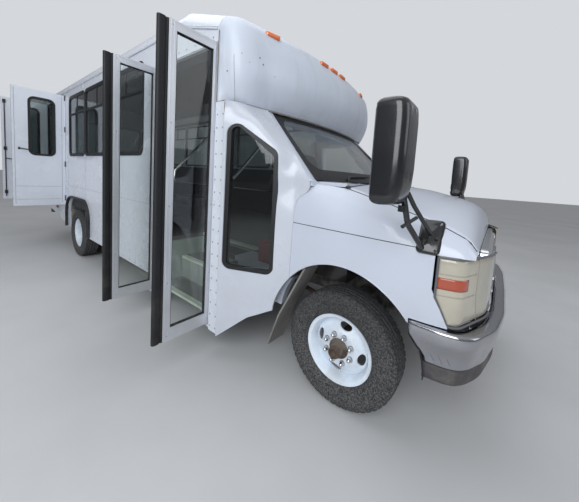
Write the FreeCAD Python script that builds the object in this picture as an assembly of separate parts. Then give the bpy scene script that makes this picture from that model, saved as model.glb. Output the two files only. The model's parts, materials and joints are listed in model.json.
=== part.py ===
import FreeCAD, Part
import math
import os
from FreeCAD import Vector as V

# Cutaway shuttle minibus with its entry and lift doors standing open.
# Lengths are in mm. X runs forward from the front axle, Y to the left, Z up from the floor.
os.makedirs("parts", exist_ok=True)

X_AXIS, Y_AXIS, Z_AXIS = V(1, 0, 0), V(0, 1, 0), V(0, 0, 1)

# Shift from the front axle's centreline to the middle of the whole part's box
front_axle_x = 2917.0
centreline_y = 262.5

# Chassis
wheelbase = 4470.0
front_track = 1763.0
rear_track = 1974.0
twin_spacing = 266.0
tyre_radius = 372.0
tyre_width = 223.0
rim_radius = 203.0
flange_radius = 221.0
rim_width = 170.0
kingpin_half = 770.0
nut_circle = 165.1
nut_count = 8
disc_thickness = 10.0
eye_radius = 36.0
kingpin_radius = 16.0
spindle_radius = 32.0
frame_half = 432.0
rail_height = 200.0
rail_flange = 68.0
rail_wall = 8.0
rail_top = 700.0
frame_front = 640.0
frame_rear = -6420.0
member_top = 670.0
member_height = 85.0
shaft_z = 520.0
pivot_member_z = 505.0
coil_top = 595.0
spring_y = 500.0
spring_half = 720.0
spring_eye_z = 500.0
spring_seat_drop = 62.0
engine_rear = -430.0
gearbox_rear = -1245.0
seat_gap = 0.3

# Cab
cab_half = 1008.0
belt_z = 1330.0
header_z = 1965.0
cab_wall = 45.0
cab_floor_z = 740.0
seam_x = -398.0
door_rear_x = -1395.0
cab_end_x = -1470.0
pillar_foot = V(-278.0, -966.0, 1425.0)
pillar_head = V(-828.0, -846.0, header_z)
pillar_length = 92.0
pillar_width = 64.0
glass_foot_x = -165.0
glass_head_x = -765.0
glass_thickness = 12.0
firewall_x = -122.0
cab_inner_half = 690.0
fender_inner = 760.0
hood_hinge_x = -64.0
hood_hinge_z = 1446.0
door_axis_x = -400.0
door_axis_y = 1014.0
hinge_radius = 5.5
shut_line = 6.0
arch_radius = 495.0
arch_z = 425.0
hood_half = 868.0
steering_radius = 28.0
bumper_top = 742.0
bumper_low = 530.0
lamp_low = 754.0
lamp_top = 1100.0
nose_low = 1108.0
nose_x = 652.0
brace_top = 680.0

# Passenger body
body_half = 1219.0
wall = 40.0
skirt_z = 380.0
tail_skirt_z = 608.0
eave_z = 2627.0
roof_top = 2876.0
roof_corner = 190.0
crown_rise = 58.0
slope_start = -1500.0
front_eave_z = 2480.0
front_roof_top = 2685.0
front_corner = 150.0
roof_skin = 35.0
cap_skin = 32.0
body_rear = -6530.0
body_front = -900.0
floor_z = 740.0
floor_thickness = 40.0
track_width = 40.0
track_height = 6.0
sill_z = 1595.0
window_top = 2515.0
window_radius = 70.0

# Entry doorway, its two leaves and the stepwell
entry_front = -1000.0
entry_rear = -1972.0
entry_top = 2400.0
header_depth = 129.0
leaf_bottom = 247.0
leaf_top = 2390.0
leaf_thickness = 38.0
leaf_jamb = 26.0
leaf_gap = 6.0
leaf_axis_y = -1200.0
rubber_width = 70.0
pivot_radius = 12.0
first_step = 300.0
second_step = 520.0
step_depth = 270.0
step_plate = 20.0

# Lift doorway behind the rear wheel
lift_front = -5156.0
lift_rear = -6436.0
lift_bottom = 744.0
lift_top = 2590.0
lift_glass_z = (1572.0, 2462.0)
lift_glass_y = (135.0, 440.0)
lift_leaf_thickness = 40.0
lift_axis_out = 7.0
lift_gap = 6.0

rear_arch_half = 560.0
housing_half = 480.0
housing_y = 700.0
rear_arch_top = 905.0
rear_arch_corner = 270.0
flare_width = 40.0


def block(x0, x1, y0, y1, z0, z1):
    return Part.makeBox(x1 - x0, y1 - y0, z1 - z0, V(x0, y0, z0))


def outline(points):
    return Part.Face(Part.makePolygon(points + [points[0]]))


def side_prism(points, y0, y1):
    return outline([V(x, y0, z) for x, z in points]).extrude(V(0, y1 - y0, 0))


def plan_prism(points, z0, z1):
    return outline([V(x, y, z0) for x, y in points]).extrude(V(0, 0, z1 - z0))


def front_prism(points, x0, x1):
    return outline([V(x0, y, z) for y, z in points]).extrude(V(x1 - x0, 0, 0))


def edges_along(shape, axis):
    found = []
    for edge in shape.Edges:
        if abs(abs(edge.tangentAt(edge.FirstParameter).dot(axis)) - 1) < 1e-6:
            found.append(edge)
    return found


def rounded(shape, axis, radius):
    return shape.makeFillet(radius, edges_along(shape, axis))


def fused(shapes):
    return shapes[0].multiFuse(shapes[1:]).removeSplitter() if len(shapes) > 1 else shapes[0]


def mirrored(shape):
    return shape.mirror(V(0, 0, 0), Y_AXIS)


def both_sides(shape):
    return Part.makeCompound([shape, mirrored(shape)])


def rod(start, end, radius):
    return Part.makeCylinder(radius, (end - start).Length, start, end - start)


def corner_arc(before, corner, after, bend):
    """Start, middle and end of the arc of radius bend that rounds a corner."""
    to_before = (before - corner).normalize()
    to_after = (after - corner).normalize()
    half = to_before.getAngle(to_after) / 2
    reach = bend / math.tan(half)
    inward = (to_before + to_after).normalize()
    middle = corner + inward * (bend / math.sin(half) - bend)
    return corner + to_before * reach, middle, corner + to_after * reach


def soft_prism(points, radii, y0, y1):
    """Prism of a side outline whose corners are each rounded by their own radius."""
    corners = [V(x, y0, z) for x, z in points]
    around = zip(corners[-1:] + corners[:-1], corners, corners[1:] + corners[:1], radii)
    arcs = [corner_arc(before, corner, after, bend) for before, corner, after, bend in around]
    edges = []
    for (start, middle, end), following in zip(arcs, arcs[1:] + arcs[:1]):
        edges.append(Part.Arc(start, middle, end).toShape())
        edges.append(Part.LineSegment(end, following[0]).toShape())
    return Part.Face(Part.Wire(edges)).extrude(V(0, y1 - y0, 0))


def bent_tube(points, radius, bend):
    """A round tube through the points, with an arc of radius bend at each inner point."""
    edges = []
    last = points[0]
    for before, corner, after in zip(points, points[1:], points[2:]):
        start, middle, end = corner_arc(before, corner, after, bend)
        edges.append(Part.LineSegment(last, start).toShape())
        edges.append(Part.Arc(start, middle, end).toShape())
        last = end
    edges.append(Part.LineSegment(last, points[-1]).toShape())
    path = Part.Wire(edges)
    ring = Part.Wire(Part.makeCircle(radius, points[0], points[1] - points[0]))
    return path.makePipeShell([ring], True, False)


def save(node, shape):
    placed = shape.copy()
    placed.translate(V(front_axle_x, centreline_y, 0))
    placed.exportStep("parts/" + node + ".step")
    solids = len(placed.Solids)
    print(node, "solids", solids, "litres", round(placed.Volume / 1e6, 2), "valid", placed.isValid())


# Chassis frame

def rail():
    z0 = rail_top - rail_height
    outer = block(frame_rear, frame_front, frame_half - rail_flange, frame_half, z0, rail_top)
    inner = block(
        frame_rear, frame_front,
        frame_half - rail_flange, frame_half - rail_wall,
        z0 + rail_wall, rail_top - rail_wall,
    )
    return outer.cut(inner)


def frame():
    members = [rail(), mirrored(rail())]
    inner = frame_half - rail_wall
    for x in (560.0, -1400.0, -2300.0, -3300.0, -5300.0, -6380.0):
        members.append(block(x - 40, x + 40, -inner, inner, member_top - member_height, member_top))
    for x in (-6040.0, -5720.0):
        members.append(block(x - 20, x + 20, -inner, inner, member_top - 10, member_top))
    members.append(block(-70, 70, -inner, inner, pivot_member_z, pivot_member_z + 45))
    for side in (-1, 1):
        low, high = sorted((side * (frame_half - 2), side * (frame_half + 168)))
        members.append(block(-60, 60, low, high, coil_top, coil_top + 45))
        low, high = sorted((side * (frame_half - 2), side * (spring_y + 38)))
        for x in (-wheelbase - spring_half + 30, -wheelbase + spring_half - 30):
            members.append(block(x - 30, x + 30, low, high, spring_eye_z + seat_gap, spring_eye_z + 140))
    return fused(members)


def coil(centre_y):
    foot = V(0, centre_y, tyre_radius + 32 + seat_gap)
    height = coil_top - seat_gap - foot.z
    return Part.makeCylinder(58, height, foot).cut(Part.makeCylinder(40, height, foot))


def front_suspension():
    """Twin beams that cross under the engine, each with an eye for its kingpin, and two coils."""
    pieces = []
    z0, z1 = tyre_radius - 32, tyre_radius + 32
    for side, x0 in ((-1, -60), (1, 8)):
        y_out, y_in = side * (kingpin_half - 20), -side * 300
        low, high = sorted((y_out, y_in))
        beam = block(x0, x0 + 52, low, high, z0, z1)
        eye = Part.makeCylinder(eye_radius, z1 - z0, V(0, side * kingpin_half, z0))
        bore = Part.makeCylinder(kingpin_radius + 0.1, 200, V(0, side * kingpin_half, z0 - 50))
        pieces.append(fused([beam, eye]).cut(bore))
    hangers = [block(-60, -8, 284, 300, z1, pivot_member_z - seat_gap),
               block(8, 60, -300, -284, z1, pivot_member_z - seat_gap)]
    pieces = [fused([pieces[0], hangers[0]]), fused([pieces[1], hangers[1]])]
    pieces = [fused([piece, radius_arm(side)]) for side, piece in zip((-1, 1), pieces)]
    for y in (-540, 540):
        pieces.append(coil(y))
    return Part.makeCompound(pieces)


def radius_arm(side):
    """Arm from the beam's outer end back to the rail, with its bushing block under the rail."""
    bushing_y = side * (frame_half - 34)
    bushing = block(-910, -850, bushing_y - 26, bushing_y + 26, 455, rail_top - rail_height - seat_gap)
    foot = V(-30 if side < 0 else 30, side * 500, tyre_radius)
    return fused([rod(foot, V(-880, bushing_y, 474), 19), bushing])


def knuckle():
    """Forked knuckle with its kingpin, seen on the right side."""
    y = -kingpin_half
    z0, z1 = tyre_radius - 32, tyre_radius + 32
    ear = 26.0
    gap = 1.0
    low = block(-34, 34, y - 68, y + 30, z0 - gap - ear, z0 - gap)
    high = block(-34, 34, y - 68, y + 30, z1 + gap, z1 + gap + ear)
    back = block(-34, 34, y - 68, y - eye_radius - 6, z0 - gap - ear, z1 + gap + ear)
    pin = Part.makeCylinder(kingpin_radius, z1 - z0 + 2 * (gap + ear), V(0, y, z0 - gap - ear))
    length = front_track / 2 + 51.7 - (kingpin_half + 60)
    spindle = Part.makeCylinder(spindle_radius, length, V(0, y - 60, tyre_radius), V(0, -1, 0))
    arm = block(-150, -20, y + 6, y + 30, z0 - gap - ear, z0 - gap)
    return fused([low, high, back, pin, spindle, arm])


# Wheels

def tyre(centre_y):
    half = tyre_width / 2
    bead = rim_width / 2 - 9
    r_in, r_out = rim_radius + seat_gap, tyre_radius
    side = [
        (bead, r_in), (bead, flange_radius + 1), (bead + 10, flange_radius + 4), (half - 4, r_in + 45),
        (half, r_in + 92), (half - 8, r_out - 28), (half - 24, r_out - 7), (half - 56, r_out)]
    points = [V(0, -y, r) for y, r in side] + [V(0, y, r) for y, r in reversed(side)]
    ring = outline(points).revolve(V(0, 0, 0), Y_AXIS, 360)
    ring.translate(V(0, centre_y, tyre_radius))
    return ring


def rim(dish, lean):
    """A steel rim about the Y axis with its nut face at y = dish; lean is the way its disc is coned."""
    half = rim_width / 2
    wall_in = rim_radius - 9
    section = [
        V(0, -half, flange_radius), V(0, -half + 7.5, flange_radius), V(0, -half + 8.5, rim_radius),
        V(0, half - 8.5, rim_radius), V(0, half - 7.5, flange_radius), V(0, half, flange_radius),
        V(0, half, wall_in), V(0, -half, wall_in),
    ]
    barrel = outline(section).revolve(V(0, 0, 0), Y_AXIS, 360)
    t = disc_thickness
    shoulder_y, seat_y = dish + 34 * lean, dish + 52 * lean
    disc = [
        V(0, dish, 55), V(0, dish, 118), V(0, shoulder_y, 165), V(0, seat_y, wall_in + 4),
        V(0, seat_y + t, wall_in + 4), V(0, shoulder_y + t, 165 - 5 * lean), V(0, dish + t, 118 - 4 * lean),
        V(0, dish + t, 55)]
    plate = outline(disc).revolve(V(0, 0, 0), Y_AXIS, 360)
    for index in range(4):
        angle = math.radians(45 + 90 * index)
        place = V(142 * math.cos(angle), dish - 60, 142 * math.sin(angle))
        hole = Part.makeCylinder(24, 120, place, Y_AXIS)
        plate = plate.cut(hole)
    return fused([barrel, plate])


def hub(dish, length):
    core = Part.makeCylinder(60, length, V(0, dish - 50, 0), Y_AXIS)
    cap = Part.makeCylinder(44, 30, V(0, dish - 78, 0), Y_AXIS)
    nuts = []
    for index in range(nut_count):
        angle = 2 * math.pi * (index + 0.5) / nut_count
        place = V(nut_circle / 2 * math.cos(angle), dish - 24, nut_circle / 2 * math.sin(angle))
        nuts.append(Part.makeCylinder(13, 30, place, Y_AXIS))
    return fused([core, cap] + nuts)


def wheel(centre_y, dish, hub_length):
    shape = fused([rim(dish, 1), hub(dish, hub_length)])
    shape.translate(V(0, centre_y, tyre_radius))
    return shape


def front_wheel():
    return wheel(-front_track / 2, -62.0, 60.0)


def rear_wheels():
    outer_y = -rear_track / 2 - twin_spacing / 2
    inner_y = -rear_track / 2 + twin_spacing / 2
    outer = rim(70.0 - disc_thickness, -1)
    outer.translate(V(0, outer_y, 0))
    inner = rim(-70.0, 1)
    inner.translate(V(0, inner_y, 0))
    middle = hub(70.0, 190.0)
    middle.translate(V(0, outer_y, 0))
    both = fused([outer, inner, middle])
    both.translate(V(-wheelbase, 0, tyre_radius))
    return both


def rear_tyres():
    pair = []
    for offset in (-twin_spacing / 2, twin_spacing / 2):
        ring = tyre(-rear_track / 2 + offset)
        ring.translate(V(-wheelbase, 0, 0))
        pair.append(ring)
    return Part.makeCompound(pair)


def rear_axle():
    centre = V(-wheelbase, 0, tyre_radius)
    half = rear_track / 2 + twin_spacing / 2 - 210 - seat_gap
    tube = rod(centre - V(0, half, 0), centre + V(0, half, 0), 48)
    pumpkin = Part.makeSphere(175, centre)
    pumpkin = pumpkin.common(block(-wheelbase - 150, -wheelbase + 160, -190, 190, 190, 560))
    shaft = rod(V(gearbox_rear - 2.4, 0, shaft_z), V(-wheelbase + 100, 0, tyre_radius + 8), 45)
    shape = [tube, pumpkin, shaft]
    for y in (-spring_y, spring_y):
        shape.append(block(-wheelbase - 60, -wheelbase + 60, y - 38, y + 38,
                           tyre_radius - spring_seat_drop, tyre_radius + 70))
        leaves = side_prism([
            (-wheelbase - spring_half, spring_eye_z - 30), (-wheelbase, tyre_radius + 62),
            (-wheelbase + spring_half, spring_eye_z - 30), (-wheelbase + spring_half, spring_eye_z),
            (-wheelbase, tyre_radius + 110), (-wheelbase - spring_half, spring_eye_z)], y - 38, y + 38)
        shape.append(leaves)
    return fused(shape)


def engine():
    core = block(engine_rear, 330, -270, 270, 560, 1110)
    mount_y = frame_half - rail_wall - seat_gap
    mounts = [block(-100, 0, -mount_y, -265, 600, 660), block(-100, 0, 265, mount_y, 600, 660)]
    return fused([core] + mounts)


def gearbox():
    return rounded(block(gearbox_rear, engine_rear - seat_gap, -170, 170, 430, 640), X_AXIS, 40)


def fuel_tank():
    top = member_top - 10 - seat_gap
    return rounded(block(-6200, -5560, -340, 340, top - 240, top), X_AXIS, 50)


def exhaust():
    """Down pipe, silencer beside the shaft, tail pipe, and two hanger bars over the frame members."""
    y = 250.0
    pipe = bent_tube([V(-500, y, 500), V(-1900, y, 470), V(-3900, y, 470)], 32, 200)
    box = rod(V(-3200, y, 470), V(-2450, y, 470), 92)
    hangers = [block(x - 8, x + 8, y - 10, y + 10, 480, member_top - member_height - seat_gap)
               for x in (-1400.0, -2300.0, -3300.0)]
    return fused([pipe, box] + hangers)


# Cab

def cab_side(inset):
    """Solid of the cab's width at every height, drawn in by inset."""
    half = cab_half - inset
    right = [(-half + 34, 380), (-half + 6, 620), (-half, 850), (-half + 4, 1100),
             (-half + 18, belt_z), (-half + 163, header_z), (-half + 172, 2010)]
    left = [(-y, z) for y, z in reversed(right)]
    return front_prism(right + left, -1500, 700)


def pillar():
    """Right windshield pillar, from the cowl up to the header."""
    wires = []
    for corner in (pillar_foot, pillar_head):
        back, across = V(-pillar_length, 0, 0), V(0, pillar_width, 0)
        wires.append(Part.makePolygon(
            [corner, corner + back, corner + back + across, corner + across, corner]))
    return Part.makeLoft(wires, True, True)


def glass_curve(z, inset):
    """Plan curve of the windshield at height z, drawn back by inset: its ends and middle."""
    t = (z - pillar_foot.z) / (pillar_head.z - pillar_foot.z)
    middle_x = glass_foot_x + t * (glass_head_x - glass_foot_x) - inset
    end = pillar_foot + (pillar_head - pillar_foot) * t
    end_y = -end.y - pillar_width - seat_gap
    end_x = end.x - 10 - inset
    return V(end_x, -end_y, z), V(middle_x, 0, z), V(end_x, end_y, z)


def curved_section(z, front_inset, rear_inset):
    """Closed plan strip between two curves parallel to the windshield."""
    a, b, c = glass_curve(z, front_inset)
    d, e, f = glass_curve(z, rear_inset)
    return Part.Wire([
        Part.Arc(a, b, c).toShape(), Part.LineSegment(c, f).toShape(),
        Part.Arc(f, e, d).toShape(), Part.LineSegment(d, a).toShape()])


def windshield():
    low, high = pillar_foot.z + 6, header_z - 4
    return Part.makeLoft([curved_section(z, 0, glass_thickness) for z in (low, high)], True, True)


# Slanting rear edge of the front wheel's space, down to the flap's foot
well_slant = [(-262, 880), (-486, 430), (-590, 120)]


def wheel_well(y0, y1):
    """Space of the front wheel: the arch and the slanted room ahead of the flap."""
    slant = side_prism(well_slant + [(380, 120), (380, 880)], y0, y1)
    round_part = Part.makeCylinder(arch_radius, y1 - y0, V(-5, y0, arch_z), Y_AXIS)
    return fused([slant.common(block(-700, 0, y0, y1, 0, 870)), round_part])


def cab_shell():
    low, top = cab_floor_z - 40, 1400.0
    inner = cab_inner_half
    sill_y0, sill_y1 = -935.0, -875.0
    step_x = seam_x - 2
    right_half = [(entry_front - 40, sill_y0), (step_x, sill_y0), (step_x, -inner), (firewall_x, -inner)]
    floor = plan_prism(right_half + [(x, -y) for x, y in reversed(right_half)], low, cab_floor_z)
    floor = floor.cut(block(-1500, -100, -330, 330, 600, 800))
    firewall = block(firewall_x, firewall_x + 20, -inner, inner, low, top)
    firewall = firewall.cut(block(-200, -100, -330, 330, 600, 1150))
    foot = pillar_foot.z
    a, b, c = glass_curve(foot, 30)
    edge_y = hood_half
    ahead = -70.0
    a, c = V(a.x, -edge_y, foot), V(c.x, edge_y, foot)
    cowl = Part.Face(Part.Wire([
        Part.Arc(a, b, c).toShape(),
        Part.LineSegment(c, V(ahead, edge_y, foot)).toShape(),
        Part.LineSegment(V(ahead, edge_y, foot), V(ahead, -edge_y, foot)).toShape(),
        Part.LineSegment(V(ahead, -edge_y, foot), a).toShape()])).extrude(V(0, 0, top - foot))
    pillar_base = block(pillar_foot.x - pillar_length, pillar_foot.x,
                        pillar_foot.y + 10, -hood_half + 4, top - 8, foot)
    posts = [pillar(), mirrored(pillar()), pillar_base, mirrored(pillar_base)]
    side_board = block(step_x, firewall_x, -inner, -inner + 20, low, top)
    bracket = block(firewall_x, firewall_x + 30, -fender_inner + seat_gap, -inner + 20, 1150, 1250)
    front_post = block(step_x - 20, step_x, -915, -inner + 20, low, top)
    sill = block(entry_front, seam_x, sill_y0, sill_y1, 486, cab_floor_z)
    left_sill = block(door_rear_x - 20, seam_x, -sill_y1, -sill_y0, 486, cab_floor_z)
    header = Part.Face(curved_section(header_z - 60, 82, 150)).extrude(V(0, 0, 56))
    rear_post = cab_side(0).cut(cab_side(cab_wall + 60)).common(
        block(cab_end_x + seat_gap, door_rear_x - 8, 500, 1300, 486, header_z - seat_gap))
    pieces = [floor, firewall, cowl, header, sill, left_sill, rear_post]
    for piece in (side_board, bracket, front_post):
        pieces += [piece, mirrored(piece)]
    shell = fused(pieces + posts)
    for y0, y1 in ((-1200, -inner - 1), (inner + 1, 1200)):
        shell = shell.cut(wheel_well(y0, y1))
    return shell


# Right fender sections: station, height of the hood line, half width
fender_rows = [
    (seam_x + 2, 1424.0, 1006.0), (-60.0, 1390.0, 1008.0), (240.0, 1310.0, 1006.0),
    (480.0, 1238.0, 995.0), (610.0, 1180.0, 975.0)]


def fender_solid():
    wires = []
    inner, low = fender_inner, 486.0
    flank_top = 1090.0
    for x, top, width in fender_rows:
        shoulder = hood_half + shut_line
        side = V(x, -width + 6, flank_top)
        crest = V(x, -shoulder, top)
        middle = V(x, side.y + 0.35 * (crest.y - side.y), flank_top + 0.62 * (top - flank_top))
        flank = [V(x, -inner, low), V(x, -width + 24, low), V(x, -width, 820), side]
        ledge = [crest, V(x, -shoulder, top - 70), V(x, -inner, top - 70), flank[0]]
        edges = [Part.LineSegment(a, b).toShape() for a, b in zip(flank, flank[1:])]
        edges.append(Part.Arc(side, middle, crest).toShape())
        edges += [Part.LineSegment(a, b).toShape() for a, b in zip(ledge, ledge[1:])]
        wires.append(Part.Wire(edges))
    return Part.makeLoft(wires, True, True)


def hood_rest():
    """Rubber-topped post on the fender's ledge that the closed hood lies on."""
    post = Part.makeCylinder(14, 260, V(240, -hood_half + 50, 1180))
    under = hood()
    under.translate(V(0, 0, -seat_gap))
    return min(post.cut(under).Solids, key=lambda solid: solid.CenterOfMass.z)


def hinge_piece(z0, z1, x0, x1):
    """Barrel and strap of a driver's door hinge, from z0 to z1."""
    barrel = Part.makeCylinder(hinge_radius, z1 - z0, V(door_axis_x, door_axis_y, z0))
    return barrel.fuse(block(x0, x1, door_axis_y - 14, door_axis_y - 3, z0, z1))


# Heights of the driver's door hinges
hinge_rows = [800.0, 1060.0]


def fender():
    shape = fender_solid().cut(wheel_well(-1300, -700))
    shape = shape.fuse(hood_rest())
    shape = shape.cut(block(100, 800, -1300, -700, 0, bumper_top + 6))
    shape = shape.cut(lamp_body(seat_gap))
    return shape.cut(block(pillar_foot.x - pillar_length - 5, pillar_foot.x + 5, pillar_foot.y + 9.7, -700,
                           1380, 1500))


def hood_section(x, crown, edge, thickness):
    half = hood_half
    a, b, c = V(x, -half, edge), V(x, 0, crown), V(x, half, edge)
    drop = V(0, 0, -thickness)
    return Part.Wire([
        Part.Arc(a, b, c).toShape(), Part.LineSegment(c, c + drop).toShape(),
        Part.Arc(c + drop, b + drop, a + drop).toShape(), Part.LineSegment(a + drop, a).toShape()])


# Hood sections: station, height at the middle and at the edges
hood_rows = [
    (-62.0, 1440.0, 1398.0), (240.0, 1410.0, 1313.0), (470.0, 1358.0, 1243.0), (570.0, 1324.0, 1205.0),
    (625.0, 1272.0, 1170.0), (nose_x, 1205.0, 1134.0)]


def hood_form(thickness):
    return Part.makeLoft([hood_section(x, crown, edge, thickness) for x, crown, edge in hood_rows], True, True)


def hood():
    """Hood with the upright nose that comes down to the grille."""
    skin = 25.0
    nose = hood_form(250.0).common(block(nose_x - skin, nose_x, -hood_half, hood_half, nose_low, 1300))
    return fused([hood_form(skin), nose])


def grille():
    profile = side_prism([
        (nose_x - 2, bumper_top + 20), (728, bumper_top + 20), (735, 800), (735, 960), (716, 1014),
        (704, 1064), (684, lamp_top - 2), (nose_x - 2, lamp_top - 2)], -600, 600)
    outer = profile.common(rounded(block(640, 740, -600, 600, bumper_top + 20, lamp_top - 2), X_AXIS, 30))
    cut = rounded(block(690, 740, -565, 565, bumper_top + 58, 1058), X_AXIS, 20)
    bars = [block(686, x, -570, 570, z, z + 16) for x, z in ((728, 860), (728, 915), (722, 970), (702, 1025))]
    posts = [block(650, 662, y - 20, y + 20, brace_top + seat_gap, 1080) for y in (-402, 402)]
    return fused([outer.cut(cut)] + bars + posts)


def lamp_body(grow):
    """The headlamp, or with grow the space cut for it in the fender."""
    back = [(640 - grow, -606), (560 - grow, -900), (505 - grow, -986)]
    front = [(610, -960), (660, -830), (708, -700), (722, -606)]
    if grow:
        front = [(505 - grow, -1100), (740, -1100), (740, -601)]
    low, high = lamp_low - grow, lamp_top + grow
    side = side_prism([(490, high), (490, 930 - grow), (573 - grow, low), (760, low), (760, high)], -1200, -500)
    return plan_prism(back + front, low, high).common(side)


def headlamp():
    return lamp_body(0)


def front_bumper():
    """Deep bumper with a broad top face, drawn in towards its lower edge."""
    top = [(403, -1011), (586, -1020), (687, -977), (770, -760), (800, -500), (806, 0),
           (725, 0), (718, -524), (695, -690), (635, -874), (586, -962), (403, -985)]
    low = [(476, -968), (600, -958), (660, -915), (730, -760), (775, -500), (786, 0),
           (756, 0), (745, -490), (700, -745), (635, -885), (590, -925), (476, -938)]
    wires = []
    for z, points in ((bumper_low, low), (bumper_top, top)):
        wires.append(Part.makePolygon([V(x, y, z) for x, y in points + points[:1]]))
    right = Part.makeLoft(wires, True, True)
    brace = block(frame_front + seat_gap, 755, -frame_half, -frame_half + 60, 560, brace_top)
    return fused([right, mirrored(right), brace, mirrored(brace)])


def bumper_valance():
    outer = [(480, -962), (600, -950), (655, -905), (722, -758), (767, -500), (778, 0)]
    inner = [(748, 0), (737, -490), (692, -745), (628, -880), (590, -918), (480, -932)]
    right = plan_prism(outer + inner, bumper_low - 90, bumper_low - seat_gap)
    return fused([right, mirrored(right)])


def door_prism(grow, y0=500.0, y1=1200.0):
    """Outline of the driver's window, grown all round."""
    rear = door_rear_x + 70 - grow
    return side_prism([
        (-530 + 2 * grow, belt_z + 30 - grow), (-960 + grow, 1882 + grow), (rear, 1882 + grow),
        (rear, belt_z + 30 - grow)], y0, y1)


def driver_door():
    skin = cab_side(0).cut(cab_side(cab_wall))
    front = seam_x + 2 - shut_line
    points = [(front, 486), (front, 1400), (-938, 1950), (door_rear_x, 1950), (door_rear_x, 486)]
    leaf = skin.common(side_prism(points, 500, 1200)).cut(door_prism(0))
    leaf = leaf.cut(wheel_well(500, 1200))
    for z in hinge_rows:
        leaf = leaf.fuse(hinge_piece(z, z + 50, door_axis_x - 40, door_axis_x))
    glass = cab_side(16).cut(cab_side(24)).common(door_prism(-seat_gap))
    return leaf, glass


# Right filler panel: height, knee and how far it is drawn in from the body's side, front edge
filler_rows = [
    (190.0, -600.0, 127.0, -402.0, -1007.0), (belt_z, -600.0, 127.0, -402.0, -1005.0),
    (1600.0, -492.0, 173.0, -440.0, -955.0), (1830.0, -700.0, 99.0, -672.0, -905.0),
    (header_z - seat_gap, -868.0, 107.0, -846.0, -900.0)]
filler_thickness = 40.0


def filler_window(grow):
    points = [
        (-872 - grow, 776), (-872 - grow, 1866 + grow), (-506 + grow, 1612),
        (-498 + grow, 789), (-560, 735 - grow), (-800, 735 - grow)]
    return soft_prism(points, [25, 50, 60, 30, 30, 30], -1400, -700)


def filler_panel():
    rear_x = body_front + seat_gap
    t = filler_thickness
    wires = []
    for z, knee_x, knee_inset, front_x, front_y in filler_rows:
        knee_y = -body_half + knee_inset
        wires.append(Part.makePolygon([
            V(rear_x, -body_half, z), V(knee_x, knee_y, z), V(front_x, front_y, z),
            V(front_x - t, front_y + 4, z), V(knee_x - 12, knee_y + t, z), V(rear_x, -body_half + t, z),
            V(rear_x, -body_half, z)]))
    panel = Part.makeLoft(wires, True, True)
    under = side_prism([(-950, 150), (-887, 194), (-663, 391), (-508, 471), (-380, 520), (-380, 100),
                        (-950, 100)], -1400, -700)
    panel = panel.cut(under).cut(wheel_well(-1300, -700)).cut(pillar())
    pane = panel.common(filler_window(-seat_gap))
    back = pane.copy()
    back.translate(V(3, 8, 0))
    front = pane.copy()
    front.translate(V(6, 16, 0))
    return panel.cut(filler_window(0)), pane.common(back).cut(front)


# Plan sections of the cap: height, nose, half width, start of the rounded corner, sweep of the face
cap_rows = [
    (header_z, -748, 1112, -922, 90), (2040, -684, 1165, -920, 115), (2190, -622, 1200, -912, 135),
    (2350, -640, 1210, -906, 130), (2460, -685, 1210, -906, 115), (2560, -748, 1202, -925, 90),
    (2640, -815, 1185, -960, 60), (2720, -900, 1165, -985, 30)]


def cap_section(z, nose, half, corner, sweep, back, rear_half):
    side = V(corner, -half, z)
    near = V(nose - sweep, -half * 0.78, z)
    bend = side + V((near.x - side.x) * 0.71, (near.y - side.y) * 0.29, 0)
    rear = V(back, -rear_half, z)

    def flip(p):
        return V(p.x, -p.y, p.z)

    return Part.Wire([
        Part.LineSegment(rear, side).toShape(),
        Part.Arc(side, bend, near).toShape(),
        Part.Arc(near, V(nose, 0, z), flip(near)).toShape(),
        Part.Arc(flip(near), flip(bend), flip(side)).toShape(),
        Part.LineSegment(flip(side), flip(rear)).toShape(),
        Part.LineSegment(flip(rear), rear).toShape()])


def cap_solid(inset):
    wires = []
    back = entry_front - 2 * inset
    for row, (z, nose, half, corner, sweep) in enumerate(cap_rows):
        drop = -20 if row == 0 and inset else 0
        wires.append(cap_section(z + drop, nose - inset, half - inset, corner - inset, sweep, back,
                                 body_half - inset))
    mould = Part.makeLoft(wires, True, True)
    ends = [roof_wire(inset, x, header_z - 30) for x in (back - 10, cap_rows[2][1] + 10)]
    return mould.common(Part.makeLoft(ends, True, True))


def front_cap():
    """Moulded cap over the cab: a skin, open below to the cab and behind to the body."""
    return cap_solid(0).cut(cap_solid(cap_skin))


# Passenger body

def slope_share(x):
    """How far station x lies down the roof's front slope: 0 at its start, 1 at the cap's joint."""
    return max(0.0, (x - slope_start) / (entry_front - slope_start))


def eave_at(x):
    return eave_z + slope_share(x) * (front_eave_z - eave_z)


def roof_wire(inset, x, base_z):
    """Section of the roof at station x, closed by a level line at base_z."""
    share = slope_share(x)
    half = body_half - inset
    radius = roof_corner + min(share, 1.0) * (front_corner - roof_corner) - inset
    top = roof_top + share * (front_roof_top - roof_top) - inset
    angle = math.pi / 2 - 2 * math.atan(crown_rise / (half - radius))
    centre_z = top - crown_rise - radius * math.sin(angle)
    centre_y = half - radius

    def corner(turn):
        return V(x, centre_y + radius * math.cos(turn), centre_z + radius * math.sin(turn))

    start, middle, end = corner(0), corner(angle / 2), corner(angle)

    def flip(p):
        return V(p.x, -p.y, p.z)

    base = V(x, half, base_z)
    return Part.Wire([
        Part.LineSegment(base, start).toShape(),
        Part.Arc(start, middle, end).toShape(),
        Part.Arc(end, V(x, 0, top), flip(end)).toShape(),
        Part.Arc(flip(end), flip(middle), flip(start)).toShape(),
        Part.LineSegment(flip(start), flip(base)).toShape(),
        Part.LineSegment(flip(base), base).toShape()])


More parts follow.
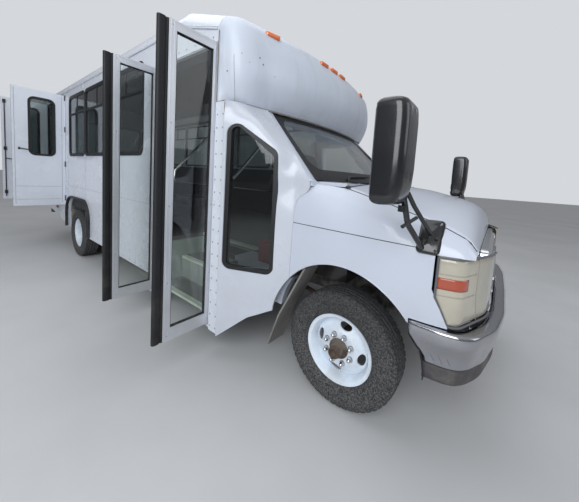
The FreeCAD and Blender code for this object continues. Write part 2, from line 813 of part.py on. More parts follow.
def roof_form(inset, rear):
    base_z = front_eave_z - 40
    level = Part.Face(roof_wire(inset, rear, base_z)).extrude(V(slope_start - rear, 0, 0))
    slope = Part.makeLoft([roof_wire(inset, x, base_z) for x in (slope_start, entry_front)], True, True)
    return fused([level, slope])


def roof():
    """Roof skin: level over the seats, sloping down ahead of slope_start to the cap's joint."""
    beyond = entry_front + 10
    below = side_prism([
        (body_rear - 10, 0), (body_rear - 10, eave_z), (slope_start, eave_z), (beyond, eave_at(beyond)),
        (beyond, 0)], -cut_out, cut_out)
    return roof_form(0, body_rear).cut(roof_form(roof_skin, body_rear + roof_skin)).cut(below)


# Reach of a cut through a side wall, outside and inside it
cut_out = body_half + 81.0
cut_in = body_half - wall - 79.0


def window_hole(x0, x1, y0, y1, z0, z1, radius):
    return rounded(block(x0, x1, y0, y1, z0, z1), Y_AXIS, radius)


right_windows = [(-3130.0, -2213.0), (-4080.0, -3163.0), (-4896.0, -4110.0)]
left_windows = [(-2577.0 - 950 * i, -1660.0 - 950 * i) for i in range(4)] + [(-6246.0, -5460.0)]


def skirt_outline(front):
    return [
        (front, skirt_z), (front, eave_at(front)), (slope_start, eave_z), (body_rear, eave_z),
        (body_rear, tail_skirt_z),
        (-wheelbase - rear_arch_half - 60, 420), (-wheelbase - rear_arch_half - 60, skirt_z)]


def wheel_arch(grow, y0, y1):
    """Rear wheel's opening, an upright U with rounded shoulders, grown all round."""
    half, top = rear_arch_half + grow, rear_arch_top + grow
    shape = block(-wheelbase - half, -wheelbase + half, y0, y1, 300, top)
    shoulders = [edge for edge in edges_along(shape, Y_AXIS) if edge.BoundBox.ZMin > top - 1]
    return shape.makeFillet(rear_arch_corner + grow, shoulders)


def side_wall(front, windows):
    panel = side_prism(skirt_outline(front), -body_half, -body_half + wall)
    panel = panel.cut(wheel_arch(0, -cut_out, -cut_in))
    for x0, x1 in windows:
        panel = panel.cut(window_hole(x0, x1, -cut_out, -cut_in, sill_z, window_top, window_radius))
    return panel


def right_wall():
    panel = side_wall(body_front, right_windows)
    panel = panel.cut(block(entry_rear, entry_front, -cut_out, -cut_in, 100, entry_top))
    panel = panel.cut(block(lift_rear, lift_front, -cut_out, -cut_in, lift_bottom, lift_top))
    panel = panel.cut(block(entry_front, body_front + 5, -cut_out, -cut_in, header_z, eave_z + 10))
    post = block(entry_front, body_front, -body_half, -body_half + wall, 200, header_z)
    rear_jamb = block(entry_rear - 60, entry_rear, -body_half, -body_half + wall, 200, skirt_z + 1)
    shoes = [block(x - 22, x + 24, -body_half + 2, -body_half + wall, 216, leaf_bottom - 12)
             for x in (entry_front - 24, entry_rear + 22)]
    return fused([panel, post, rear_jamb] + shoes)


def left_wall():
    """The far side, with its upper panel over the driver's door and the panel that meets the cab."""
    y0 = -body_half
    upper = side_prism([
        (cab_end_x, header_z), (cab_end_x, eave_at(cab_end_x)), (entry_front, front_eave_z),
        (entry_front, header_z)], y0, y0 + wall)
    soffit = block(cab_end_x, entry_front, y0 + wall, -cab_half + 100, header_z, header_z + 25)
    corner = block(cab_end_x - wall, cab_end_x, y0 + wall, -cab_half + 105, skirt_z, eave_at(cab_end_x))
    return mirrored(fused([side_wall(cab_end_x, left_windows), upper, soffit, corner]))


def panes(windows):
    thickness = 8.0
    out = []
    for x0, x1 in windows:
        out.append(window_hole(x0 + 1, x1 - 1, -body_half + 8, -body_half + 8 + thickness,
                               sill_z + 1, window_top - 1, window_radius - 1))
    return out


def rear_wall():
    z0, z1 = tail_skirt_z, eave_z
    panel = block(body_rear, body_rear + wall, -body_half + wall, body_half - wall, z0, z1)
    hole = rounded(block(body_rear - 10, body_rear + wall + 10, -560, 560, 1560, 2400), X_AXIS, 80)
    return panel.cut(hole)


def rear_pane():
    return rounded(block(body_rear + 8, body_rear + 16, -559, 559, 1561, 2399), X_AXIS, 79)


# Side place of each seat track on the floor
track_rows = [-620.0, -240.0, 240.0, 620.0]


def seat_tracks():
    half = track_width / 2
    return [block(lift_front + 60, entry_rear - 260, y - half, y + half, floor_z - 1, floor_z + track_height)
            for y in track_rows]


def body_floor():
    inner = body_half - wall - seat_gap
    low = floor_z - floor_thickness
    slab = block(body_rear + wall + seat_gap, entry_front - 40 - seat_gap, -inner, inner, low, floor_z)
    well_y = -body_half + 55 + 2 * step_depth + seat_gap
    slab = slab.cut(block(entry_rear, entry_front + 2, -inner - 10, well_y, 600, 800))
    slab = slab.cut(block(cab_end_x - wall - seat_gap, 0, 870, 1300, 600, 800))
    slab = slab.cut(block(lift_rear - 5, lift_front + 5, -inner - 10, -body_half + wall + 6, 600, 800))
    for y0, y1 in ((-1300, -housing_y), (housing_y, 1300)):
        slab = slab.cut(block(-wheelbase - housing_half, -wheelbase + housing_half, y0, y1, 600, 800))
    return fused([slab, wheel_housing(), mirrored(wheel_housing())] + seat_tracks())


def wheel_housing():
    x0, x1 = -wheelbase - housing_half, -wheelbase + housing_half
    y0, y1 = -body_half + wall + seat_gap, -housing_y
    low = floor_z - floor_thickness
    outer = block(x0, x1, y0, y1, low, rear_arch_top + 20)
    inner = block(x0 + 15, x1 - 15, y0 - 1, y1 - 15, low - 1, rear_arch_top + 5)
    return outer.cut(inner)


def stepwell():
    t = step_plate
    x0, x1 = entry_rear + 2, entry_front - 2
    y_out = -body_half + 55
    y_mid = y_out + step_depth
    y_in = y_mid + step_depth
    pieces = [
        block(x0, x1, y_out, y_mid, first_step - t, first_step),
        block(x0, x1, y_mid, y_mid + t, first_step - t, second_step),
        block(x0, x1, y_mid, y_in, second_step - t, second_step),
        block(x0, x1, y_in - t, y_in, second_step - t, floor_z - floor_thickness),
        block(x0, x0 + t, y_out, y_in, first_step - t, floor_z - floor_thickness),
        block(x1 - t, x1, y_out, y_in, first_step - t, floor_z - floor_thickness)]
    return fused(pieces)


def flares():
    arcs = []
    for side in (-1, 1):
        y0, y1 = sorted((side * (body_half + seat_gap), side * (body_half + flare_width)))
        outer = wheel_arch(flare_width, y0, y1).cut(block(-6000, -3000, -1400, 1400, 0, 400))
        arcs.append(outer.cut(wheel_arch(0, -1400, 1400)))
    return Part.makeCompound(arcs)


def front_flap():
    (x0, z0), (x1, z1), (x2, z2) = well_slant
    rear = [(x0 - 10, z0 - 20), (x1, z1), (x2 + 13, z2 + 40)]
    gap, thickness = 0.4, 16.0
    face = [(x + gap, z) for x, z in rear]
    return side_prism(face + [(x + thickness, z) for x, z in reversed(face)], -1004, -800)


def mud_flaps():
    rear = block(-wheelbase - 560, -wheelbase - 548, -body_half + 45, -780, 150, 700)
    return Part.makeCompound([front_flap(), mirrored(front_flap()), rear, mirrored(rear)])


def rear_bumper():
    front = body_rear - 40
    half = body_half - 69
    bar = rounded(block(front - 70, front, -half, half, 430, 580), Y_AXIS, 20)
    arm_y = frame_half - 42
    arms = [block(front - 2, frame_rear - seat_gap, y - 30, y + 30, 480, 560) for y in (-arm_y, arm_y)]
    return fused([bar] + arms)


# Entry and lift doors

def leaf_parts(axis_x):
    """One open entry leaf, reaching outward from its pivot: frame with rubber, and its pane."""
    half = leaf_thickness / 2
    reach = (entry_front - entry_rear) / 2 - leaf_jamb - leaf_gap / 2
    y_edge = leaf_axis_y - reach
    y_frame = y_edge + rubber_width
    frame_bar = 52.0
    rail_low, rail_high = 92.0, 60.0
    body = block(axis_x - half, axis_x + half, y_frame, leaf_axis_y, leaf_bottom, leaf_top)
    hinge_edge = Part.makeCylinder(half, leaf_top - leaf_bottom, V(axis_x, leaf_axis_y, leaf_bottom))
    low, high = leaf_bottom - 12 + seat_gap, entry_top - seat_gap
    pin = Part.makeCylinder(pivot_radius, high - low, V(axis_x, leaf_axis_y, low))
    body = fused([body, hinge_edge, pin])
    hole = block(axis_x - 50, axis_x + 50, y_frame + frame_bar, leaf_axis_y - frame_bar,
                 leaf_bottom + rail_low, leaf_top - rail_high)
    rubber = block(axis_x - half, axis_x + half, y_edge, y_frame, leaf_bottom + 4, leaf_top - 4)
    rubber = rounded(rubber, Z_AXIS, 12)
    pane = block(axis_x - 4, axis_x + 4, y_frame + frame_bar - 8, leaf_axis_y - frame_bar + 8,
                 leaf_bottom + rail_low - 8, leaf_top - rail_high + 8)
    body = body.cut(hole).cut(pane)
    return body, rubber, pane


def lift_leaf(hinge_x, direction):
    """One open lift leaf; direction is the side of the hinge line that it stands on."""
    length = (lift_front - lift_rear) / 2 - lift_gap / 2
    near_face = hinge_x + direction * lift_axis_out
    x0, x1 = sorted((near_face, near_face + direction * lift_leaf_thickness))
    axis_y = -body_half - lift_axis_out
    body = block(x0, x1, axis_y - length, axis_y - lift_gap, lift_bottom + 6, lift_top - 6)
    (near, far), (glass_low, glass_top) = lift_glass_y, lift_glass_z
    hole = rounded(block(x0 - 5, x1 + 5, axis_y - far, axis_y - near, glass_low, glass_top), X_AXIS, 70)
    pane = rounded(block(x0 + 14, x0 + 22, axis_y - far + seat_gap, axis_y - near - seat_gap,
                         glass_low + seat_gap, glass_top - seat_gap), X_AXIS, 70 - seat_gap)
    low, high = lift_bottom + 10, lift_top - 10
    barrel = Part.makeCylinder(lift_axis_out - 0.5, high - low, V(hinge_x, axis_y, low))
    strap_x = sorted((hinge_x, hinge_x + direction * (lift_axis_out + 1)))
    strap = block(strap_x[0], strap_x[1], axis_y - lift_gap - 10, axis_y - 2, low, high)
    return fused([body.cut(hole), barrel, strap]), pane


# Mirrors, lamps and inside pieces

def mirror_head():
    """Right mirror: ribbed head on two bent tubes from a foot that follows the fender."""
    head = block(256, 392, -1338, -1122, 1345, 1800)
    head = head.makeFillet(28, head.Edges)
    arm = bent_tube([V(335, -1235, 1400), V(345, -1235, 1300), V(452, -976, 1170)], 14, 60)
    upper = bent_tube([V(352, -1180, 1400), V(380, -1150, 1330), V(452, -952, 1212)], 12, 40)
    foot = fender_solid()
    foot.translate(V(0, -20, 14))
    foot = foot.common(block(398, 505, -1300, -hood_half - 8, 1100, 1262)).cut(fender_solid())
    return fused([head, arm, upper, foot])


def dashboard():
    front = firewall_x - seat_gap
    points = [(front, 1000), (front, 1380), (-330, 1392), (-480, 1352), (-500, 1150), (-420, 1000)]
    half = cab_inner_half - 20 - seat_gap
    desk = side_prism(points, -half, half).cut(block(-600, -100, -345, 345, 900, 1200))
    return desk.cut(steering_column(steering_radius + seat_gap))


def steering_column(radius):
    foot = Part.makeCylinder(radius, 300, V(0, 0, -300), Z_AXIS)
    return placed_wheel(foot)


def placed_wheel(shape):
    shape.rotate(V(0, 0, 0), Y_AXIS, -62)
    shape.translate(V(-700, 450, 1262))
    return shape


def steering_wheel():
    ring = Part.makeTorus(190, 15, V(0, 0, 0), Z_AXIS)
    spoke = block(-180, 180, -18, 18, -8, 8)
    return fused([placed_wheel(fused([ring, spoke])), steering_column(steering_radius)])


def engine_cover():
    front = firewall_x - seat_gap
    outer = side_prism([(-1030, 701), (-1030, 960), (-640, 1020), (-460, 1190), (front, 1190), (front, 701)],
                       -329.7, 329.7)
    inner = side_prism([(-1010, 600), (-1010, 940), (-655, 995), (-470, 1160), (-50, 1160), (-50, 600)],
                       -305, 305)
    return outer.cut(inner)


def driver_seat():
    base = block(-1280, -900, 340, 740, cab_floor_z + seat_gap, 1010)
    cushion = rounded(block(-1330, -850, 350, 780, 1010, 1140), Y_AXIS, 40)
    back = side_prism([(-1340, 1080), (-1240, 1080), (-1330, 1760), (-1430, 1760)], 350, 780)
    return fused([base, cushion, back])


def grab_rails():
    rails = []
    post = rod(V(-1985, -520, floor_z + seat_gap), V(-1985, -520, roof_top - 51), 16)
    rails.append(post)
    rails.append(bent_tube([V(-1955, -1100, 700), V(-1955, -1100, 1500), V(-1955, -560, 1900)], 14, 100))
    rails.append(bent_tube([V(-1030, -1100, 700), V(-1030, -1100, 1450), V(-1030, -560, 1850)], 14, 100))
    return Part.makeCompound(rails)


def door_header():
    """Box over the entry that holds the doors' gear, under the roof's slope."""
    y0 = -body_half + wall + seat_gap
    low, rise = entry_top + 5, 29.0
    return side_prism([
        (entry_rear, low), (entry_rear, eave_z + rise), (slope_start, eave_z + rise),
        (entry_front, front_eave_z + rise), (entry_front, low)], y0, y0 + header_depth)


def tail_lamps():
    lamps = []
    for side in (-1, 1):
        for index, z in enumerate((1180.0, 1060.0, 940.0)):
            y = side * 1060.0
            lamps.append(Part.makeCylinder(50, 25, V(body_rear - 25 - seat_gap, y, z), X_AXIS))
    return Part.makeCompound(lamps)


def clearance_lamps():
    lamps = []
    outside = cap_solid(0)
    for y, x in ((-850.0, -805.0), (-185.0, -738.0), (0.0, -735.0), (185.0, -738.0), (850.0, -805.0)):
        lamp = rounded(block(x - 60, x + 18, y - 50, y + 50, 2525, 2555), Y_AXIS, 8).cut(outside)
        lamps.append(max(lamp.Solids, key=lambda solid: solid.CenterOfMass.x))
    return Part.makeCompound(lamps)


door_shell, door_pane = driver_door()
filler, filler_pane = filler_panel()
front_axis_x = entry_front - leaf_jamb
rear_axis_x = entry_rear + leaf_jamb
front_leaf, front_rubber, front_pane = leaf_parts(front_axis_x)
rear_leaf, rear_rubber, rear_leaf_pane = leaf_parts(rear_axis_x)
lift_a, lift_a_pane = lift_leaf(lift_front, -1)
lift_b, lift_b_pane = lift_leaf(lift_rear, 1)

save("frame", frame())
save("front_suspension", front_suspension())
save("rear_axle", rear_axle())
save("engine", Part.makeCompound([engine(), gearbox()]))
save("fuel_tank", fuel_tank())
save("exhaust", exhaust())
save("knuckle_right", knuckle())
save("knuckle_left", mirrored(knuckle()))
save("wheel_front_right", front_wheel())
save("wheel_front_left", mirrored(front_wheel()))
save("wheels_rear_right", rear_wheels())
save("wheels_rear_left", mirrored(rear_wheels()))
save("tyre_front_right", tyre(-front_track / 2))
save("tyre_front_left", tyre(front_track / 2))
save("tyres_rear_right", rear_tyres())
save("tyres_rear_left", mirrored(rear_tyres()))
save("cab_shell", cab_shell())
left_fender = mirrored(fender())
for z in hinge_rows:
    left_fender = left_fender.fuse(hinge_piece(z - 50, z - seat_gap, door_axis_x, door_axis_x + 40))
save("fenders", Part.makeCompound([fender(), left_fender]))
save("hood", hood())
save("grille", grille())
save("headlamps", both_sides(headlamp()))
save("front_bumper", front_bumper())
save("bumper_valance", bumper_valance())
save("windshield", windshield())
save("driver_door", door_shell)
save("driver_door_glass", door_pane)
save("mirrors", both_sides(mirror_head()))
save("dashboard", Part.makeCompound([dashboard(), engine_cover()]))
save("steering_wheel", steering_wheel())
save("driver_seat", driver_seat())
save("front_cap", front_cap())
save("filler_panel", filler)
save("body_floor", body_floor())
save("stepwell", stepwell())
save("side_wall_right", right_wall())
save("side_wall_left", left_wall())
save("rear_wall", rear_wall())
save("roof", roof())
save("body_glass", Part.makeCompound(
    panes(right_windows) + [mirrored(p) for p in panes(left_windows)] + [rear_pane(), filler_pane]))
save("wheel_flares", flares())
save("mud_flaps", mud_flaps())
save("rear_bumper", rear_bumper())
save("entry_leaf_front", Part.makeCompound([front_leaf, front_rubber]))
save("entry_leaf_rear", Part.makeCompound([rear_leaf, rear_rubber]))
save("entry_glass_front", front_pane)
save("entry_glass_rear", rear_leaf_pane)
save("lift_leaf_front", lift_a)
save("lift_leaf_rear", lift_b)
save("lift_glass_front", lift_a_pane)
save("lift_glass_rear", lift_b_pane)
save("grab_rails", grab_rails())
save("door_header", door_header())
save("tail_lamps", tail_lamps())
save("clearance_lamps", clearance_lamps())
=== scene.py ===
import json
import logging
import math
from dataclasses import dataclass, replace
from enum import Enum
from typing import Iterable, Sequence

import bmesh
import bpy
from mathutils import Matrix, Vector


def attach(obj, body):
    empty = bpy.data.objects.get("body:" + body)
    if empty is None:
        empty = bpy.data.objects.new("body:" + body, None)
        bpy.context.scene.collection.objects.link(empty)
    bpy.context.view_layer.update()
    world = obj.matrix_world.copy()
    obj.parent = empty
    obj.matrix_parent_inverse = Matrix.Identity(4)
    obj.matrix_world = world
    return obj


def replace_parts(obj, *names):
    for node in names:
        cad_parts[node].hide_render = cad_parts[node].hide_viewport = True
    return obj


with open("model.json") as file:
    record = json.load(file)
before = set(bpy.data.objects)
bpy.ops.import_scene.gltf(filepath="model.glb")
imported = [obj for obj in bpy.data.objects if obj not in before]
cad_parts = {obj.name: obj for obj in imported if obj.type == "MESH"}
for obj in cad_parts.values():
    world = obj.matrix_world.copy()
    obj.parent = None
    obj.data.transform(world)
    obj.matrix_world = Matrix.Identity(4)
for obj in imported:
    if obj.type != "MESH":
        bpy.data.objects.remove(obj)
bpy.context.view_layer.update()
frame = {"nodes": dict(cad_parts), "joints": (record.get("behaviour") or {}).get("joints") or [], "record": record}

log = logging.getLogger("minibus")
MM = 0.001
# Height of the bus's own floor, in mm.
DECK = 741.0
Colour = tuple[float, float, float]
Point = tuple[float, float, float]
Flat = tuple[float, float]


def joint_point(name: str) -> Vector:
    """Gives a joint's point in the frame, in metres.

    Args:
        name: The joint's name in the record.

    Returns:
        The point that the joint turns about.
    """
    return Vector(next(joint["pos_m"] for joint in frame["joints"] if joint["name"] == name))


AXLE = (joint_point("roll_front_left") + joint_point("roll_front_right")) / 2
DATUM = Vector((AXLE.x, AXLE.y, 0.0))


def at(x: float, y: float, z: float) -> Vector:
    """Turns vehicle millimetres into a frame point.

    Args:
        x: Distance ahead of the front axle.
        y: Distance to the left of the centre plane.
        z: Height above the floor.

    Returns:
        The point in metres.
    """
    return DATUM + Vector((x, y, z)) * MM


class Graph:
    """Adds and links the shader nodes of one material."""

    def __init__(self, name: str) -> None:
        """Makes the material with an empty Principled shader.

        Args:
            name: Name of the material.
        """
        self.material = bpy.data.materials.new(name)
        self.material.use_nodes = True
        self.tree = self.material.node_tree
        self.tree.nodes.clear()
        out = self.tree.nodes.new("ShaderNodeOutputMaterial")
        self.shader = self.tree.nodes.new("ShaderNodeBsdfPrincipled")
        self.tree.links.new(self.shader.outputs[0], out.inputs[0])
        self.place = self.tree.nodes.new("ShaderNodeTexCoord").outputs["Object"]

    def link(self, value: object, socket: bpy.types.NodeSocket) -> None:
        """Feeds a socket or a plain value into another socket.

        Args:
            value: A node socket, a number or a colour.
            socket: The input that takes it.
        """
        if isinstance(value, bpy.types.NodeSocket):
            self.tree.links.new(value, socket)
        elif isinstance(value, (tuple, list)) and socket.type == "RGBA":
            socket.default_value = (*value[:3], 1.0)
        else:
            socket.default_value = value

    def set(self, **values: object) -> None:
        """Sets inputs of the Principled shader by name, with _ for a space."""
        for name, value in values.items():
            self.link(value, self.shader.inputs[name.replace("_", " ")])

    def math(self, operation: str, a: object, b: object = 0.0, clamp: bool = False) -> bpy.types.NodeSocket:
        """Joins two values by one Math operation and returns the result."""
        node = self.tree.nodes.new("ShaderNodeMath")
        node.operation = operation
        node.use_clamp = clamp
        self.link(a, node.inputs[0])
        self.link(b, node.inputs[1])
        return node.outputs[0]

    def stretched(self, scale: Sequence[float]) -> bpy.types.NodeSocket:
        """Returns the object's coordinates, scaled along each axis."""
        node = self.tree.nodes.new("ShaderNodeMapping")
        self.link(self.place, node.inputs["Vector"])
        node.inputs["Scale"].default_value = scale
        return node.outputs[0]

    def noise(self, scale: float, detail: float = 4.0, rough: float = 0.55,
              stretch: Sequence[float] = (1, 1, 1)) -> bpy.types.NodeSocket:
        """Returns fractal noise of a given size.

        Args:
            scale: Waves per metre.
            detail: Number of finer layers.
            rough: How strong the finer layers are.
            stretch: Scale of each axis before the noise.

        Returns:
            A value socket around 0.5.
        """
        node = self.tree.nodes.new("ShaderNodeTexNoise")
        self.link(self.stretched(stretch), node.inputs["Vector"])
        node.inputs["Scale"].default_value = scale
        node.inputs["Detail"].default_value = detail
        node.inputs["Roughness"].default_value = rough
        return node.outputs[0]

    def height(self, axis: int = 2) -> bpy.types.NodeSocket:
        """Returns the height above the floor, or the place along another axis, in metres."""
        node = self.tree.nodes.new("ShaderNodeSeparateXYZ")
        self.link(self.place, node.inputs[0])
        return node.outputs[axis]

    def band(self, value: object, low: float, high: float, start: float = 0.0,
             end: float = 1.0) -> bpy.types.NodeSocket:
        """Maps low..high to start..end, held at both ends."""
        node = self.tree.nodes.new("ShaderNodeMapRange")
        node.interpolation_type = "SMOOTHSTEP"
        for index, item in enumerate((value, low, high, start, end)):
            self.link(item, node.inputs[index])
        return node.outputs[0]

    def mix(self, factor: object, a: object, b: object) -> bpy.types.NodeSocket:
        """Mixes two colours by a factor and returns the colour."""
        node = self.tree.nodes.new("ShaderNodeMix")
        node.data_type = "RGBA"
        self.link(factor, node.inputs[0])
        self.link(a, node.inputs[6])
        self.link(b, node.inputs[7])
        return node.outputs[2]

    def bump(self, height: object, distance: float) -> None:
        """Raises the surface by a height value times a distance in metres."""
        node = self.tree.nodes.new("ShaderNodeBump")
        node.inputs["Distance"].default_value = distance
        self.link(height, node.inputs["Height"])
        self.link(node.outputs[0], self.shader.inputs["Normal"])


@dataclass(frozen=True)
class Finish:
    """A surface of one colour with slow and fine variation.

    Attributes:
        name: Name of the material.
        colour: Linear base colour.
        rough: Roughness.
        metal: 1 for bare metal.
        coat: Weight of the clear coat.
        dust: Share of dust on the lowest surfaces.
        dust_colour: Linear colour of the dust.
        streak: Depth of the dirt that runs down.
        patches: Patches of dust per metre.
        grain: Height of the fine bump, in mm.
        grain_scale: Waves of the fine bump per metre.
        mottle: Depth of the slow change of colour.
        dark_inside: Whether the middle below the hood is painted near black as shade.
        slot: Material slot of the record, where its name isn't the finish's own.
    """

    name: str
    colour: Colour
    rough: float = 0.4
    metal: float = 0.0
    coat: float = 0.0
    dust: float = 0.0
    dust_colour: Colour = (0.36, 0.33, 0.29)
    streak: float = 0.0
    patches: float = 6.0
    grain: float = 0.0
    grain_scale: float = 400.0
    mottle: float = 0.06
    dark_inside: bool = False
    slot: str = ""

    def build(self) -> bpy.types.Material:
        """Returns the material, made once and then reused."""
        known = bpy.data.materials.get(f"finish_{self.name}")
        return known if known else self.make()

    def make(self) -> bpy.types.Material:
        """Makes the material's nodes."""
        graph = Graph(f"finish_{self.name}")
        slow = graph.noise(2.3, 3.0)
        worn = tuple(c * (1 - self.mottle) for c in self.colour)
        colour = graph.mix(graph.band(slow, 0.3, 0.7), self.colour, worn)
        rough: object = graph.band(graph.noise(4.0, 3.0), 0.3, 0.7, self.rough * 0.94, self.rough * 1.08)
        if self.streak:
            runs = graph.noise(9.0, 4.0, 0.6, (1.0, 1.0, 0.09))
            amount = graph.band(runs, 0.5, 0.78, 0.0, self.streak)
            colour = graph.mix(amount, colour, tuple(c * 0.5 for c in self.dust_colour))
        if self.dust:
            low = graph.band(graph.height(), 0.15, 1.15, self.dust, self.dust * 0.06)
            spots = graph.band(graph.noise(self.patches, 8.0, 0.68), 0.4, 0.64)
            share = graph.math("MULTIPLY", low, spots)
            colour = graph.mix(share, colour, self.dust_colour)
            rough = graph.math("ADD", rough, graph.math("MULTIPLY", share, 0.5), True)
        # Painted shade: the cab's middle below the hood is painted near black where it lies in shade.
        if self.dark_inside:
            aside = graph.math("ABSOLUTE", graph.math("SUBTRACT", graph.height(1), AXLE.y))
            middle = graph.band(aside, 0.715, 0.725, 1.0, 0.0)
            below = graph.band(graph.height(), 1.10, 1.14, 1.0, 0.0)
            colour = graph.mix(graph.math("MULTIPLY", middle, below), colour, (0.02, 0.018, 0.016))
        graph.set(Base_Color=colour, Roughness=rough, Metallic=self.metal, Coat_Weight=self.coat,
                  Coat_Roughness=0.08)
        if self.grain:
            graph.bump(graph.noise(self.grain_scale, 3.0), self.grain * MM)
        return graph.material


@dataclass(frozen=True)
class Glass(Finish):
    """Clear or tinted sheet glass with a film of dust."""

    def make(self) -> bpy.types.Material:
        """Makes a transmitting shader with a faint uneven film."""
        graph = Graph(f"finish_{self.name}")
        film = graph.band(graph.noise(3.0, 6.0, 0.6), 0.4, 0.8, self.rough, 0.09)
        graph.set(Base_Color=self.colour, Roughness=film, Transmission_Weight=1.0, IOR=1.45)
        return graph.material


white_paint = Finish("white_paint", (0.59, 0.63, 0.72), 0.3, coat=0.5, dust=0.15, mottle=0.03)
moulded_white = Finish("moulded_white", (0.73, 0.765, 0.84), 0.26, coat=0.5, dust=0.1, streak=0.03,
                       mottle=0.03)
# The cab's shell: white paint, painted near black as shade in the middle below the hood.
cab_paint = replace(white_paint, name="cab_paint", dark_inside=True)
panel_white = Finish("panel_white", (0.58, 0.61, 0.68), 0.28, coat=0.5, dust=0.12, mottle=0.03,
                     slot="moulded_white")
rivet_grey = Finish("rivet_grey", (0.30, 0.31, 0.33), 0.4, slot="moulded_white")
cap_white = Finish("cap_white", (0.63, 0.68, 0.77), 0.4, coat=0.15, dust=0.3, streak=0.13, mottle=0.06,
                   slot="moulded_white")
bezel_grey = Finish("bezel_grey", (0.12, 0.125, 0.14), 0.4, dust=0.1, slot="dark_plastic")
mirror_black = Finish("mirror_black", (0.010, 0.010, 0.012), 0.22, coat=0.6, dust=0.15, slot="dark_plastic")
bumper_chrome = Finish("bumper_chrome", (0.46, 0.465, 0.50), 0.12, 1.0, dust=0.35, streak=0.12, slot="chrome")
lining_dark = Finish("lining_dark", (0.035, 0.035, 0.04), 0.8, grain=0.4, slot="trim_grey")
lining_grey = Finish("lining_grey", (0.085, 0.09, 0.10), 0.6, grain=0.2, slot="trim_grey")
ceiling_dark = Finish("ceiling_dark", (0.045, 0.038, 0.035), 0.7, slot="trim_grey")
step_edge = Finish("step_edge", (0.62, 0.70, 0.60), 0.4, 0.3, dust=0.2, slot="step_metal")
reflector_orange = Finish("reflector_orange", (0.42, 0.075, 0.035), 0.2, coat=0.6, slot="amber_lens")
cell_grey = Finish("cell_grey", (0.42, 0.38, 0.31), 0.3, slot="lens")
wheel_paint = Finish("wheel_paint", (0.80, 0.88, 0.97), 0.35, dust=0.3)
tyre_rubber = Finish("tyre_rubber", (0.018, 0.018, 0.020), 0.75, dust=0.5,
                     dust_colour=(0.27, 0.265, 0.26), patches=110.0, grain=0.4, slot="tyre")
black_paint = Finish("black_paint", (0.02, 0.02, 0.022), 0.5, dust=0.7)
axle_steel = Finish("axle_steel", (0.09, 0.065, 0.05), 0.75, 0.3, dust=0.5, grain=0.5)
engine_grey = Finish("engine_grey", (0.09, 0.09, 0.09), 0.6, 0.6, dust=0.4)
chrome = Finish("chrome", (0.75, 0.76, 0.79), 0.07, 1.0, dust=0.1)
grille_grey = Finish("grille_grey", (0.13, 0.14, 0.15), 0.3, dust=0.1)
lens_plastic = Finish("lens_plastic", (0.50, 0.465, 0.375), 0.1, coat=1.0, mottle=0.3, slot="lens")
dark_plastic = Finish("dark_plastic", (0.016, 0.016, 0.018), 0.38, dust=0.2, grain=0.2)
valance_grey = Finish("valance_grey", (0.06, 0.057, 0.06), 0.6, dust=0.3, grain=0.2)
clear_glass = Glass("clear_glass", (0.90, 0.94, 0.92), 0.02, slot="glass")
tinted_glass = Glass("tinted_glass", (0.34, 0.39, 0.38), 0.02)
trim_grey = Finish("trim_grey", (0.08, 0.085, 0.09), 0.6, dust=0.1, grain=0.2)
seat_cloth = Finish("seat_cloth", (0.09, 0.10, 0.11), 0.9, grain=0.5, grain_scale=900)
floor_grey = Finish("floor_grey", (0.12, 0.12, 0.125), 0.7, dust=0.3)
step_metal = Finish("step_metal", (0.28, 0.32, 0.30), 0.5, dust=0.3)
black_rubber = Finish("black_rubber", (0.012, 0.012, 0.014), 0.6, dust=0.15, slot="rubber")
frame_black = Finish("frame_black", (0.007, 0.007, 0.009), 0.45, slot="dark_plastic")
# Near black; also used for dirt specks and for the painted shade line of the fender's crease.
door_rubber = Finish("door_rubber", (0.007, 0.007, 0.009), 0.6, dust=0.08, slot="rubber")
sealant_brown = Finish("sealant_brown", (0.20, 0.145, 0.09), 0.7, mottle=0.4, slot="rubber")
# Grey for panel joints, and for lines painted as the shade in creases and recesses.
seam_grey = Finish("seam_grey", (0.16, 0.17, 0.19), 0.7, slot="rubber")
blank_white = Finish("blank_white", (0.55, 0.56, 0.58), 0.4, slot="moulded_white")
flap_rubber = Finish("flap_rubber", (0.27, 0.26, 0.245), 0.8, streak=0.4, mottle=0.3, slot="flap_grey")
door_aluminium = Finish("door_aluminium", (0.72, 0.74, 0.78), 0.4, 0.6, dust=0.15)
rusty_hub = Finish("rusty_hub", (0.10, 0.055, 0.035), 0.8, 0.2, dust=0.5, grain=0.6, mottle=0.3,
                   slot="axle_steel")
stainless = Finish("stainless", (0.62, 0.62, 0.61), 0.2, 1.0)
red_lens = Finish("red_lens", (0.35, 0.01, 0.008), 0.15, coat=1.0)
amber_lens = Finish("amber_lens", (0.75, 0.16, 0.02), 0.15, coat=1.0)

SLOT_FINISHES: dict[str, Finish] = {finish.slot or finish.name: finish for finish in (
    white_paint, wheel_paint, tyre_rubber, black_paint, axle_steel, engine_grey, chrome, grille_grey,
    lens_plastic, dark_plastic, valance_grey, clear_glass, tinted_glass, trim_grey, seat_cloth, moulded_white,
    floor_grey, step_metal, black_rubber, flap_rubber, door_aluminium, stainless, red_lens, amber_lens)}


def dress_nodes() -> None:
    """Gives each CAD node the finish of its material slot."""
    for part in frame["record"]["subparts"]:
        node = frame["nodes"][part["node"]]
        node.data.materials.clear()
        finish = cab_paint if part["node"] == "cab_shell" else SLOT_FINISHES[part["material_slot"]]
        node.data.materials.append(finish.build())


class Side(Enum):
    """Side of the vehicle that a piece stands on."""

    RIGHT = -1
    LEFT = 1

    @property
    def word(self) -> str:
        """Name of the side, as the nodes use it."""
        return self.name.lower()


def add_object(name: str, data: bpy.types.ID) -> bpy.types.Object:
    """Adds an object with this mesh, camera or light to the scene."""
    made = bpy.data.objects.new(name, data)
    bpy.context.scene.collection.objects.link(made)
    return made


